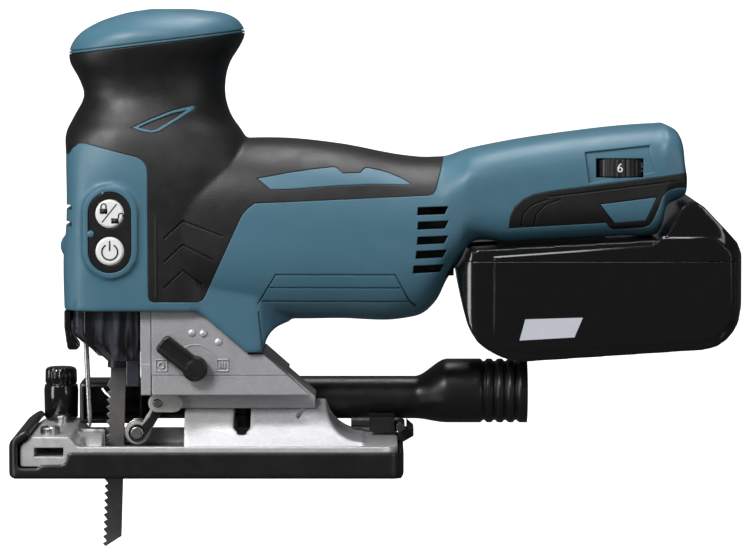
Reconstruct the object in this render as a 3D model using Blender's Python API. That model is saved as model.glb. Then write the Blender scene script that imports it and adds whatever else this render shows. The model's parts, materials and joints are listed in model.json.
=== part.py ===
"""A cordless barrel-grip jigsaw as an assembly of separate parts.

Frame: metres, +Z up, +X towards the battery, -X towards the blade, -Y the tool's left side.
The origin is the middle of the sole's underside. Each sub-part is one object, and pieces that move
are parented to an empty that stands on their joint's axis.
"""

import math

import bmesh
import bpy
import numpy as np
from mathutils import Matrix, Vector

# ---------------------------------------------------------------- driving dimensions, metres
GAP = 0.0003  # between pieces that touch
FIT = 0.0004  # around a piece that slides or turns in its seat

# Base: the sole cover, and the cast plate that stands in it
BASE_LENGTH = 0.1603
BASE_WIDTH = 0.077
COVER_HEIGHT = 0.0099
COVER_WALL = 0.0022
COVER_FLOOR = 0.0020
COVER_BACK_WALL = 0.0024
PLATE_FRONT_WALL = 0.0036
RIM_OUTER_HEIGHT = 0.0126
RIM_INNER_HEIGHT = 0.0144
RIM_THICKNESS = 0.0026
PLATE_FLOOR = 0.0058
SADDLE_RADIUS = 0.0286
SADDLE_WALL = 0.0050
SADDLE_FRONT = -0.0097
SADDLE_REAR = 0.0484
SADDLE_FILLET = 0.0150
BLADE_WINDOW_FRONT = -0.0540
BLADE_WINDOW_HALF_WIDTH = 0.0262
BLADE_SLOT_HALF_WIDTH = 0.0052
FRONT_BLOCK_HEIGHT = 0.0163
FRONT_BLOCK_REAR = -0.0560
FENCE_SLOT_CENTRE = -0.0640
FENCE_SLOT_WIDTH = 0.0120
FENCE_SLOT_FLOOR = 0.0074
FENCE_SLOT_HEIGHT = 0.0044
FENCE_SCREW_OFFSET = 0.0260

# Tilting of the body on the saddle
TILT_FOOT_HALF_WIDTH = 0.0125
CLAMP_BOLT_X = 0.0140
CLAMP_BOLT_RADIUS = 0.0030
CLAMP_HEAD_RADIUS = 0.0052

# Cast gear housing
HOUSING_FRONT = -0.0227
HOUSING_TOE = 0.0438
HOUSING_TOE_HEIGHT = 0.0310
HOUSING_HALF_WIDTH = 0.0240
HOUSING_LEDGE = 0.0407
HOUSING_SHOULDER_X = 0.0229
HOUSING_SHOULDER_Z = 0.0493
HOUSING_REAR = 0.0165
HOUSING_TOP = 0.1130
FRONT_STRIP_THICKNESS = 0.0042
COVER_PLATE_FOOT = 0.0334
COVER_TILT_ROOM = 0.0217  # how far its chamfer stays above the base's rim at full tilt, times the root of 2

# Gear train and crank
MOTOR_HEIGHT = 0.0995
GEAR_MODULE = 0.00085
PINION_TEETH = 8
GEAR_TEETH = 40
GEAR_FRONT = -0.0120
GEAR_WIDTH = 0.0065
GEAR_SHAFT_RADIUS = 0.0035
STROKE = 0.026
STROKE_ABOVE_REST = 0.003
CRANK_PIN_RADIUS = 0.0020
CRANK_ROLLER_RADIUS = 0.0034
YOKE_THICKNESS = 0.0048
YOKE_WALL = 0.0020

# Plunger and blade: one line, leaning forward towards its foot
BLADE_LINE_X = -0.03975
BLADE_LEAN = math.radians(1.8)
BLADE_WIDTH = 0.0077
BLADE_THICKNESS = 0.0012
BLADE_TIP = -0.0330
BLADE_TOP = 0.0495
TOOTH_PITCH = 0.0030
TOOTH_DEPTH = 0.0016
PLUNGER_RADIUS = 0.0045
PLUNGER_FOOT = 0.0511
PLUNGER_TOP = 0.1235
BUSH_WALL = 0.0020
BUSH_LENGTH = 0.0060
LOWER_BUSH_Z = 0.0571
UPPER_BUSH_Z = 0.1030
CLAMP_RADIUS = 0.0056
CLAMP_NECK_RADIUS = 0.0039
CLAMP_NECK = 0.0048
CLAMP_FOOT = 0.0418
COLLAR_RADIUS = 0.0080

# Blade support roller and its arm
ARM_PIVOT_X = -0.0209
ARM_PIVOT_Z = 0.0283
ROLLER_X = -0.0298
ROLLER_Z = 0.0151
ROLLER_WIDTH = 0.0070
ROLLER_PIN_RADIUS = 0.0028
ARM_HALF_WIDTH = 0.0062
ARM_HUB_RADIUS = 0.0042
LINK_PLATE_THICKNESS = 0.0020
LINK_PLATE_RADIUS = 0.0037  # its top corner clears the base's rim at full tilt

# Orbit selector
SELECTOR_X = -0.0048
SELECTOR_Z = 0.0439
SELECTOR_SHAFT_RADIUS = 0.0035
SELECTOR_HUB_RADIUS = 0.0046
SELECTOR_THICKNESS = 0.0060
SELECTOR_LENGTH = 0.0172

# Motor
STATOR_RADIUS = 0.0250
STATOR_BORE = 0.0146
STATOR_FRONT = 0.0440
STATOR_LENGTH = 0.0270
ROTOR_GAP = 0.0006
SHAFT_RADIUS = 0.0025
FAN_X = 0.0762
FAN_RADIUS = 0.0225
FAN_WIDTH = 0.0070
BEARING_LENGTH = 0.0055
FRONT_BEARING_RADIUS = 0.0095
REAR_BEARING_RADIUS = 0.0070
REAR_BEARING_X = 0.0862

# Casing
SHELL_WALL = 0.0030
CASING_FRONT = -0.0592
MOTOR_ROOM = 0.0010  # between stator and casing
MOTOR_SWELL = 0.0160
GRIP_SKIN = 0.0013
CAP_SEAM_X = -0.0562
CAP_SEAM_Z = 0.1716
CAP_SEAM_SLOPE = math.radians(6.9)
NOSE_FLOOR = 0.0672
LEG_HALF_WIDTH = 0.0276
SCREW_RADIUS = 0.0020
SCREW_HEAD_RADIUS = 0.0036
SCREW_HEAD_HEIGHT = 0.0026
SCREW_BOSS_RADIUS = 0.0042

# Switches on both sides of the nose
PANEL_X = -0.0390
PANEL_Z = 0.0996
PANEL_HALF_WIDTH = 0.0085
PANEL_HALF_HEIGHT = 0.01625
PANEL_FACE = 0.0316
PANEL_THICKNESS = 0.0022
PANEL_BOSS_WIDTH = 0.0026
BUTTON_RADIUS = 0.0058
BUTTON_SPREAD = 0.0076
BUTTON_TRAVEL = 0.0010
BUTTON_THICKNESS = 0.0030

# Speed dial
DIAL_X = 0.1675
DIAL_Z = 0.1256
DIAL_RADIUS = 0.0122
DIAL_HEIGHT = 0.0070
DIAL_REACH = 0.0004
DIAL_RIBS = 18

# Battery and its slide
TAIL_HALF_WIDTH = 0.0305
RAIL_SLOPE = math.radians(3.2)
RAIL_START_X = 0.1067
RAIL_START_Z = 0.0934
BATTERY_HALF_WIDTH = 0.0370
BATTERY_WALL = 0.0025
BATTERY_SEAM = 0.0880
CELL_RADIUS = 0.0091
CELL_LENGTH = 0.0650
CELL_COLUMNS = 5
CELL_START_X = 0.1218
CELL_START_Z = 0.0622
TERMINAL_HALF_WIDTH = 0.0130

# Dust nozzle on the right side of the base
NOZZLE_Y = 0.0296
NOZZLE_Z = 0.0262
NOZZLE_RADIUS = 0.0090
NOZZLE_WALL = 0.0018
OUTLET_RADIUS = 0.0135
OUTLET_START = 0.0960
OUTLET_END = 0.1324
OUTLET_Z = 0.0290
SHOE_FRONT = -0.0550
SHOE_REAR = -0.0279

# Chip cover and blade release lever
COVER_FRONT = CASING_FRONT + SHELL_WALL + 2 * GAP
COVER_HALF_WIDTH = 0.0236
COVER_SHEET = 0.0020
CHIP_COVER_FOOT = 0.0462
CHIP_COVER_TOP = 0.0725
GUARD_X = -0.0489
GUARD_FOOT = 0.0172
GUARD_RADIUS = 0.0011
GUARD_LEAN = math.radians(-2.4)
LEVER_PIVOT_X = -0.0525
LEVER_PIVOT_Y = 0.0286

ROUND = 20  # facets around a small round piece
OVERRUN = 0.002  # how far a cutter passes the face it cuts


# ---------------------------------------------------------------- materials
def material(name, colour, roughness, metallic=0.0, alpha=1.0):
    made = bpy.data.materials.new(name)
    made.use_nodes = True
    shader = made.node_tree.nodes["Principled BSDF"]
    shader.inputs["Base Color"].default_value = (*colour, 1.0)
    shader.inputs["Roughness"].default_value = roughness
    shader.inputs["Metallic"].default_value = metallic
    shader.inputs["Alpha"].default_value = alpha
    made.diffuse_color = (*colour, alpha)
    return made


def clear_scene():
    for thing in list(bpy.data.objects):
        bpy.data.objects.remove(thing, do_unlink=True)


clear_scene()
BLUE_SHELL = material("blue_shell", (0.055, 0.19, 0.27), 0.42)
BLACK_RUBBER = material("black_rubber", (0.022, 0.021, 0.022), 0.68)
BLACK_PLASTIC = material("black_plastic", (0.012, 0.012, 0.013), 0.38)
CAST_ALUMINIUM = material("cast_aluminium", (0.52, 0.51, 0.49), 0.48, 1.0)
ZINC = material("zinc_plate", (0.62, 0.61, 0.55), 0.42, 1.0)
STEEL = material("steel", (0.50, 0.50, 0.50), 0.30, 1.0)
BLADE_STEEL = material("blade_steel", (0.20, 0.19, 0.18), 0.45, 1.0)
DARK_STEEL = material("dark_steel", (0.06, 0.06, 0.065), 0.40, 1.0)
BRONZE = material("bronze", (0.45, 0.29, 0.12), 0.45, 1.0)
COPPER = material("copper_winding", (0.60, 0.25, 0.10), 0.40, 1.0)
SMOKED = material("smoked_clear", (0.10, 0.10, 0.11), 0.15, 0.0, 0.45)
LENS = material("clear_lens", (0.85, 0.87, 0.9), 0.10, 0.0, 0.6)
WHITE_BUTTON = material("white_button", (0.80, 0.80, 0.78), 0.40)
BOARD = material("circuit_board", (0.02, 0.12, 0.06), 0.50)
CELL_SLEEVE = material("cell_sleeve", (0.08, 0.20, 0.10), 0.40)


# ---------------------------------------------------------------- shape helpers
def new_object(name, bm, finish, parent=None, at=(0, 0, 0), smooth=True):
    """One object from a bmesh whose points are measured from the point `at` under `parent`."""
    bmesh.ops.recalc_face_normals(bm, faces=bm.faces)
    mesh = bpy.data.meshes.new(name)
    bm.to_mesh(mesh)
    bm.free()
    mesh.materials.append(finish)
    if smooth:
        mesh.shade_smooth()
        mesh.set_sharp_from_angle(angle=math.radians(32))
    thing = bpy.data.objects.new(name, mesh)
    bpy.context.scene.collection.objects.link(thing)
    thing.location = at
    thing.parent = parent
    return thing


def joint_empty(name, at, turn=(0, 0, 0), parent=None):
    """An empty on a joint's axis. The pieces that move there are its children."""
    empty = bpy.data.objects.new(name, None)
    empty.empty_display_size = 0.01
    empty.location = at
    empty.rotation_euler = turn
    empty.parent = parent
    bpy.context.scene.collection.objects.link(empty)
    return empty


def combine(target, other, operation):
    """A Boolean on `target`. `other` stays in the scene as a hidden wire helper."""
    other.hide_render = True
    other.display_type = "WIRE"
    step = target.modifiers.new(f"{operation.lower()} {other.name}", "BOOLEAN")
    step.operation = operation
    step.object = other
    step.solver = "EXACT"


def cut(target, *others):
    for other in others:
        combine(target, other, "DIFFERENCE")


def join(target, *others):
    for other in others:
        combine(target, other, "UNION")


def keep_inside(target, *others):
    for other in others:
        combine(target, other, "INTERSECT")


def box_mesh(low, high):
    low, high = Vector(low), Vector(high)
    bm = bmesh.new()
    scale = Matrix.Diagonal((*(high - low), 1.0))
    bmesh.ops.create_cube(bm, size=1.0, matrix=Matrix.Translation((low + high) / 2) @ scale)
    return bm


def prism_mesh(outline, low, high, along="Y"):
    """A closed outline pushed from `low` to `high` along one axis.

    The outline's points are (x, z) along Y, (y, z) along X and (x, y) along Z.
    """
    place = {
        "Y": lambda a, b, depth: (a, depth, b),
        "X": lambda a, b, depth: (depth, a, b),
        "Z": lambda a, b, depth: (a, b, depth),
    }[along]
    bm = bmesh.new()
    near = [bm.verts.new(place(a, b, low)) for a, b in outline]
    far = [bm.verts.new(place(a, b, high)) for a, b in outline]
    bm.faces.new(near)
    bm.faces.new(far[::-1])
    for i in range(len(outline)):
        j = (i + 1) % len(outline)
        bm.faces.new((near[i], far[i], far[j], near[j]))
    return bm


def turned_mesh(profile, axis="X", centre=(0, 0, 0), facets=ROUND):
    """A closed turned shape. The profile runs (position along the axis, radius); a radius of 0 at both
    ends makes those ends flat faces, and a profile without one closes on itself as a ring."""
    frames = {
        "X": lambda s, a, b: (s, a, b),
        "Y": lambda s, a, b: (a, s, b),
        "Z": lambda s, a, b: (a, b, s),
    }
    place = frames[axis]
    base = Vector(centre)
    bm = bmesh.new()
    rings = []
    for along, radius in profile:
        if radius > 0:
            turn = [2 * math.pi * (k + 0.5) / facets for k in range(facets)]
            points = [place(along, radius * math.cos(t), radius * math.sin(t)) for t in turn]
            rings.append([bm.verts.new(base + Vector(p)) for p in points])
    solid = profile[0][1] == 0
    for one, two in zip(rings, rings[1:] if solid else rings[1:] + rings[:1]):
        for k in range(facets):
            j = (k + 1) % facets
            bm.faces.new((one[k], one[j], two[j], two[k]))
    if solid:
        bm.faces.new(rings[0])
        bm.faces.new(rings[-1])
    return bm


def rod(length_from, length_to, radius):
    """The profile of a plain rod, for turned_mesh."""
    return [(length_from, 0), (length_from, radius), (length_to, radius), (length_to, 0)]


def tube(start, end, outer, inner):
    """The profile of a plain ring or sleeve, for turned_mesh."""
    return [(start, outer), (end, outer), (end, inner), (start, inner)]


def superellipse(half_a, half_b, power, count):
    """Points around a rounded rectangle: power 2 is an ellipse, and higher is squarer."""
    points = []
    for k in range(count):
        t = 2 * math.pi * (k + 0.5) / count
        c, s = math.cos(t), math.sin(t)
        a = half_a * math.copysign(abs(c) ** (2 / power), c)
        b = half_b * math.copysign(abs(s) ** (2 / power), s)
        points.append((a, b))
    return points


def loft_mesh(rings):
    """A closed skin through rings of equal length, with a flat cap at each end."""
    bm = bmesh.new()
    rows = [[bm.verts.new(p) for p in ring] for ring in rings]
    for one, two in zip(rows, rows[1:]):
        for k in range(len(one)):
            j = (k + 1) % len(one)
            first, second = (one[k], two[j]) if k < len(one) / 2 else (two[k], one[j])
            bm.faces.new((first, one[j] if first is one[k] else two[j], second))
            bm.faces.new((first, second, two[k] if first is one[k] else one[k]))
    bm.faces.new(rows[0][::-1])
    bm.faces.new(rows[-1])
    return bm


def arc(centre, radius, start, end, steps):
    """Points along an arc; angles in degrees."""
    turns = np.radians(np.linspace(start, end, steps + 1))
    return [(centre[0] + radius * math.cos(t), centre[1] + radius * math.sin(t)) for t in turns]


def stadium(centre, half_width, half_height, steps=6):
    """An upright slot outline with round ends."""
    x, z = centre
    rise = half_height - half_width
    top = arc((x, z + rise), half_width, 0, 180, steps)
    return top + arc((x, z - rise), half_width, 180, 360, steps)


def helper(name, bm):
    """A cutter or guide: never part of the object."""
    thing = new_object(name, bm, BLACK_PLASTIC, smooth=False)
    thing.hide_render = True
    thing.display_type = "WIRE"
    return thing


def gear_outline(teeth, module, centre=(0.0, 0.0), phase=0.0):
    """Straight-flanked teeth with backlash, as (y, z) points about the centre."""
    pitch_radius = teeth * module / 2
    step = 2 * math.pi / teeth
    root = pitch_radius - 0.95 * module
    tip = pitch_radius + 0.65 * module
    points = []
    for k in range(teeth):
        middle = phase + k * step
        for offset, radius in ((-0.27, root), (-0.11, tip), (0.11, tip), (0.27, root)):
            t = middle + offset * step
            points.append((centre[0] + radius * math.cos(t), centre[1] + radius * math.sin(t)))
    return points


# ---------------------------------------------------------------- frames that follow from the sizes
HALF_LENGTH = BASE_LENGTH / 2
HALF_WIDTH = BASE_WIDTH / 2
PLATE_FRONT = -HALF_LENGTH + PLATE_FRONT_WALL + GAP
PLATE_REAR = HALF_LENGTH - COVER_BACK_WALL
PLATE_HALF_WIDTH = HALF_WIDTH - COVER_WALL - GAP
PLATE_UNDERSIDE = COVER_FLOOR + GAP
RIM_INSIDE = PLATE_HALF_WIDTH - RIM_THICKNESS
FOOT_RADIUS = SADDLE_RADIUS + GAP
FOOT_HEIGHT = math.sqrt(FOOT_RADIUS**2 - TILT_FOOT_HALF_WIDTH**2)
CRANK_RADIUS = STROKE / 2
GEAR_PITCH = GEAR_TEETH * GEAR_MODULE / 2
PINION_PITCH = PINION_TEETH * GEAR_MODULE / 2
GEAR_HEIGHT = MOTOR_HEIGHT - GEAR_PITCH - PINION_PITCH
CRANK_START = math.pi * STROKE_ABOVE_REST / STROKE
ROLLER_RADIUS = (
    ROLLER_X - BLADE_LINE_X - math.tan(BLADE_LEAN) * ROLLER_Z - BLADE_WIDTH / 2 - GAP
) * math.cos(BLADE_LEAN)
STRIP_FRONT = HOUSING_FRONT - GAP - FRONT_STRIP_THICKNESS


def rail_height(x):
    """The underside of the tail, which the battery slides along."""
    return RAIL_START_Z + (x - RAIL_START_X) * math.tan(RAIL_SLOPE)


def blade_line(z):
    """The x of the middle of blade and plunger at a height."""
    return BLADE_LINE_X + z * math.tan(BLADE_LEAN)


# ---------------------------------------------------------------- base
base = joint_empty("base_frame", (0, 0, 0))


def add_sole_cover():
    """The plastic shoe under the base: a shallow tray whose front lip wraps up over the casting."""
    lip = [
        (-HALF_LENGTH, 0),
        (HALF_LENGTH, 0),
        (HALF_LENGTH, COVER_HEIGHT),
        (-HALF_LENGTH + 0.007, COVER_HEIGHT),
        (-HALF_LENGTH + 0.009, 0.0135),
        (-HALF_LENGTH + 0.0065, 0.0165),
        (-HALF_LENGTH + 0.0022, 0.0120),
        (-HALF_LENGTH, 0.0075),
    ]
    cover = new_object(
        "sole_cover", prism_mesh(lip, -HALF_WIDTH, HALF_WIDTH), BLACK_PLASTIC, base, smooth=False
    )
    outline = front_outline(GAP)
    pocket = [(x, max(z, COVER_FLOOR)) for x, z in outline]
    half = PLATE_HALF_WIDTH + GAP
    cut(cover, helper("cover_pocket", prism_mesh(pocket, -half, half)))
    slot_low = (-0.062, -BLADE_SLOT_HALF_WIDTH, -OVERRUN)
    slot_high = (-0.026, BLADE_SLOT_HALF_WIDTH, COVER_FLOOR + OVERRUN)
    front, rear = FENCE_SLOT_CENTRE - FENCE_SLOT_WIDTH / 2, FENCE_SLOT_CENTRE + FENCE_SLOT_WIDTH / 2
    notch = box_mesh((front, -HALF_WIDTH - OVERRUN, FENCE_SLOT_FLOOR), (rear, HALF_WIDTH + OVERRUN, 0.03))
    cut(
        cover,
        helper("cover_blade_slot", box_mesh(slot_low, slot_high)),
        helper("cover_fence_notch", notch),
    )


def front_outline(grow):
    """The side outline of the casting, grown all round by `grow`."""
    return [
        (PLATE_FRONT - grow, PLATE_UNDERSIDE - grow),
        (PLATE_REAR + grow, PLATE_UNDERSIDE - grow),
        (PLATE_REAR + grow, RIM_OUTER_HEIGHT + grow),
        (FRONT_BLOCK_REAR + 0.0035 + grow, RIM_OUTER_HEIGHT + grow),
        (FRONT_BLOCK_REAR + grow, FRONT_BLOCK_HEIGHT + grow),
        (-0.0705, FRONT_BLOCK_HEIGHT + grow),
        (PLATE_FRONT + 0.0022 - grow, 0.0118 + grow),
        (PLATE_FRONT - grow, 0.0085 + grow),
    ]


def add_base_plate():
    """The cast plate: rim, front block with the fence slot, and the half-round saddle the body tilts on."""
    plate = new_object(
        "base_plate",
        prism_mesh(front_outline(0), -PLATE_HALF_WIDTH, PLATE_HALF_WIDTH),
        CAST_ALUMINIUM,
        base,
    )
    rear_end = PLATE_REAR - 0.0150
    trough = box_mesh((-0.052, -RIM_INSIDE, PLATE_FLOOR), (rear_end, RIM_INSIDE, 0.03))
    window = box_mesh(
        (BLADE_WINDOW_FRONT, -BLADE_WINDOW_HALF_WIDTH, -0.01),
        (SADDLE_FRONT - 0.001, BLADE_WINDOW_HALF_WIDTH, 0.03),
    )
    cut(plate, helper("plate_trough", trough), helper("plate_window", window))
    rims = []
    for side in (-1, 1):
        outer, inner = side * PLATE_HALF_WIDTH, side * RIM_INSIDE
        section = [
            (outer, RIM_OUTER_HEIGHT - 0.004),
            (inner, RIM_OUTER_HEIGHT - 0.004),
            (inner, RIM_INNER_HEIGHT),
            (outer, RIM_OUTER_HEIGHT),
        ]
        name = "rim_left" if side < 0 else "rim_right"
        rims.append(helper(name, prism_mesh(section, FRONT_BLOCK_REAR - 0.001, rear_end + 0.004, "X")))
    join(plate, *rims)
    saddle = add_saddle()
    join(plate, saddle)
    tunnel = turned_mesh(
        rod(SADDLE_FRONT - OVERRUN, SADDLE_REAR - 0.006, SADDLE_RADIUS - SADDLE_WALL), "X", facets=40
    )
    cut(plate, helper("saddle_tunnel", tunnel))
    arc_slot = box_mesh((CLAMP_BOLT_X - 0.0034, -0.0222, 0.010), (CLAMP_BOLT_X + 0.0034, 0.0222, 0.034))
    cut(plate, helper("tilt_slot", arc_slot))
    fence = box_mesh(
        (FENCE_SLOT_CENTRE - FENCE_SLOT_WIDTH / 2, -HALF_WIDTH, FENCE_SLOT_FLOOR),
        (FENCE_SLOT_CENTRE + FENCE_SLOT_WIDTH / 2, HALF_WIDTH, FENCE_SLOT_FLOOR + FENCE_SLOT_HEIGHT),
    )
    cut(plate, helper("fence_slot", fence))
    for side in (-1, 1):
        hole = turned_mesh(
            rod(FENCE_SLOT_FLOOR + 0.001, 0.03, 0.0025 + GAP),
            "Z",
            (FENCE_SLOT_CENTRE, side * FENCE_SCREW_OFFSET, 0),
            12,
        )
        cut(plate, helper(f"fence_hole_{'left' if side < 0 else 'right'}", hole))


def add_saddle():
    """A half cylinder about the tilt axis whose rear end falls to the plate in a concave sweep."""
    rear_foot = SADDLE_REAR + SADDLE_FILLET
    saddle = helper("saddle", turned_mesh(rod(SADDLE_FRONT, rear_foot, SADDLE_RADIUS), "X", facets=56))
    sweep = arc((rear_foot, SADDLE_RADIUS), SADDLE_FILLET, 180, 270, 6)
    away = sweep + [(rear_foot + 0.01, SADDLE_RADIUS - SADDLE_FILLET), (rear_foot + 0.01, 0.05)]
    away += [(SADDLE_REAR, 0.05)]
    cut(saddle, helper("saddle_sweep", prism_mesh(away, -0.04, 0.04)))
    below = box_mesh((-0.1, -0.05, -0.05), (0.1, 0.05, PLATE_UNDERSIDE + 0.001))
    cut(saddle, helper("saddle_underside", below))
    return saddle


def add_fence_screw():
    """The left fence screw, turned with a hex key."""
    axis = joint_empty("fence_screw_axis", (FENCE_SLOT_CENTRE, -FENCE_SCREW_OFFSET, 0), parent=base)
    foot = FENCE_SLOT_FLOOR + FENCE_SLOT_HEIGHT
    seat = FRONT_BLOCK_HEIGHT + GAP
    profile = [(foot, 0), (foot, 0.0025), (seat, 0.0025), (seat, 0.0041)]
    profile += [(seat + 0.0026, 0.0041), (seat + 0.0031, 0.0036), (seat + 0.0031, 0)]
    screw = new_object("fence_screw", turned_mesh(profile, "Z", facets=18), STEEL, axis)
    socket = helper("fence_socket", turned_mesh(rod(seat + 0.0012, seat + 0.006, 0.0020), "Z", facets=6))
    socket.parent = axis
    cut(screw, socket)


def add_fence_knob():
    """The right fence screw carries a tall hand knob with a fluted cap."""
    axis = joint_empty("fence_knob_axis", (FENCE_SLOT_CENTRE, FENCE_SCREW_OFFSET, 0), parent=base)
    foot = FENCE_SLOT_FLOOR + FENCE_SLOT_HEIGHT
    seat = FRONT_BLOCK_HEIGHT + GAP
    profile = [(foot, 0), (foot, 0.0023), (seat, 0.0023), (seat, 0.0060), (seat + 0.0015, 0.0072)]
    profile += [(0.0322, 0.0072), (0.0326, 0.0064), (0.0334, 0.0064), (0.0340, 0.0067)]
    profile += [(0.0384, 0.0067), (0.0394, 0.0055), (0.0394, 0)]
    new_object("fence_knob", turned_mesh(profile, "Z", facets=24), BLACK_PLASTIC, axis)


def add_key():
    """The hex key lies along the back of the base in a plastic clip."""
    y = 0.0160
    z = RIM_INNER_HEIGHT + 0.0026
    long_arm = turned_mesh(rod(SADDLE_REAR + 0.010, 0.0790, 0.0020), "X", (0, y, z), 6)
    key = new_object("hex_key", long_arm, DARK_STEEL, base, smooth=False)
    bend = turned_mesh(rod(y - 0.0180, y + 0.0021, 0.0020), "Y", (0.0790, 0, z), 6)
    join(key, helper("hex_key_short_arm", bend))
    rear = PLATE_REAR + GAP + 0.0064
    outline = [
        (0.0660, RIM_INNER_HEIGHT + GAP),
        (PLATE_REAR + GAP, RIM_INNER_HEIGHT + GAP),
        (PLATE_REAR + GAP, COVER_HEIGHT + GAP),
        (HALF_LENGTH, COVER_HEIGHT + GAP),
        (rear, COVER_HEIGHT + 0.0028),
        (rear, RIM_INNER_HEIGHT + 0.0012),
        (0.0790, RIM_INNER_HEIGHT + 0.0060),
        (0.0660, RIM_INNER_HEIGHT + 0.0060),
    ]
    clip = new_object("key_clip", prism_mesh(outline, 0.0040, 0.0215), BLACK_PLASTIC, base, smooth=False)
    groove = box_mesh((0.05, y - 0.0023, RIM_INNER_HEIGHT + 0.0004), (0.0815, y + 0.0030, 0.04))
    cross = box_mesh((0.0765, -0.01, RIM_INNER_HEIGHT + 0.0004), (0.0815, 0.05, 0.04))
    cut(clip, helper("key_groove", groove), helper("key_cross_groove", cross))


def nozzle_outlet_profile():
    """The outlet's outside: a cone up to the full width, then four shallow grooves near the end."""
    profile = [
        (OUTLET_START - 0.0020, 0),
        (OUTLET_START - 0.0020, NOZZLE_RADIUS - 0.0004),
        (OUTLET_START + 0.0035, OUTLET_RADIUS - 0.0007),
        (OUTLET_START + 0.0060, OUTLET_RADIUS),
    ]
    for k in range(4):
        groove = OUTLET_END - 0.0047 - 0.0045 * (3 - k)
        profile += [(groove - 0.0011, OUTLET_RADIUS), (groove, OUTLET_RADIUS - 0.0012)]
        profile += [(groove + 0.0011, OUTLET_RADIUS)]
    return profile + [(OUTLET_END, OUTLET_RADIUS), (OUTLET_END, 0)]


def add_dust_nozzle():
    """A pipe beside the saddle: a scoop beside the blade, a straight run, and a ribbed outlet."""
    axis = joint_empty("dust_nozzle_slide_axis", (0, NOZZLE_Y, NOZZLE_Z), parent=base)
    lift = OUTLET_Z - NOZZLE_Z
    run = turned_mesh(rod(SHOE_REAR - 0.001, OUTLET_START, NOZZLE_RADIUS), "X", facets=22)
    nozzle = new_object("dust_nozzle", run, BLACK_PLASTIC, axis)
    reach = NOZZLE_Y - 0.0125
    shoe_low = (SHOE_FRONT, -reach, -NOZZLE_RADIUS - 0.0006)
    shoe_high = (SHOE_REAR, NOZZLE_RADIUS - 0.0010, NOZZLE_RADIUS - 0.0012)
    wall = Vector((NOZZLE_WALL,) * 3)
    low, high = Vector(shoe_low) + wall, Vector(shoe_high) - wall
    low.y = -reach - OVERRUN
    inner = NOZZLE_RADIUS - NOZZLE_WALL
    wide = OUTLET_RADIUS - NOZZLE_WALL
    throat = [(OUTLET_START - 0.0080, 0), (OUTLET_START - 0.0080, inner - 0.0010)]
    throat += [(OUTLET_START + 0.0050, wide - 0.0010), (OUTLET_END + OVERRUN, wide)]
    throat += [(OUTLET_END + OVERRUN, 0)]
    added = [
        helper("nozzle_outlet", turned_mesh(nozzle_outlet_profile(), "X", (0, 0, lift), 22)),
        helper("nozzle_shoe", box_mesh(shoe_low, shoe_high)),
        helper("nozzle_hook", box_mesh((0.0300, -0.003, -0.0108), (0.0420, 0.0030, -0.0084))),
    ]
    removed = [
        helper("nozzle_shoe_hollow", box_mesh(low, high)),
        helper("nozzle_bore", turned_mesh(rod(SHOE_REAR - 0.008, OUTLET_START - 0.004, inner), "X")),
        helper("nozzle_throat", turned_mesh(throat, "X", (0, 0, lift))),
    ]
    for tool in added + removed:
        tool.parent = axis
    join(nozzle, *added)
    cut(nozzle, *removed)


# ---------------------------------------------------------------- cast gear housing and its fixed pieces
housing = joint_empty("tilt_axis", (0, 0, 0))


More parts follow.
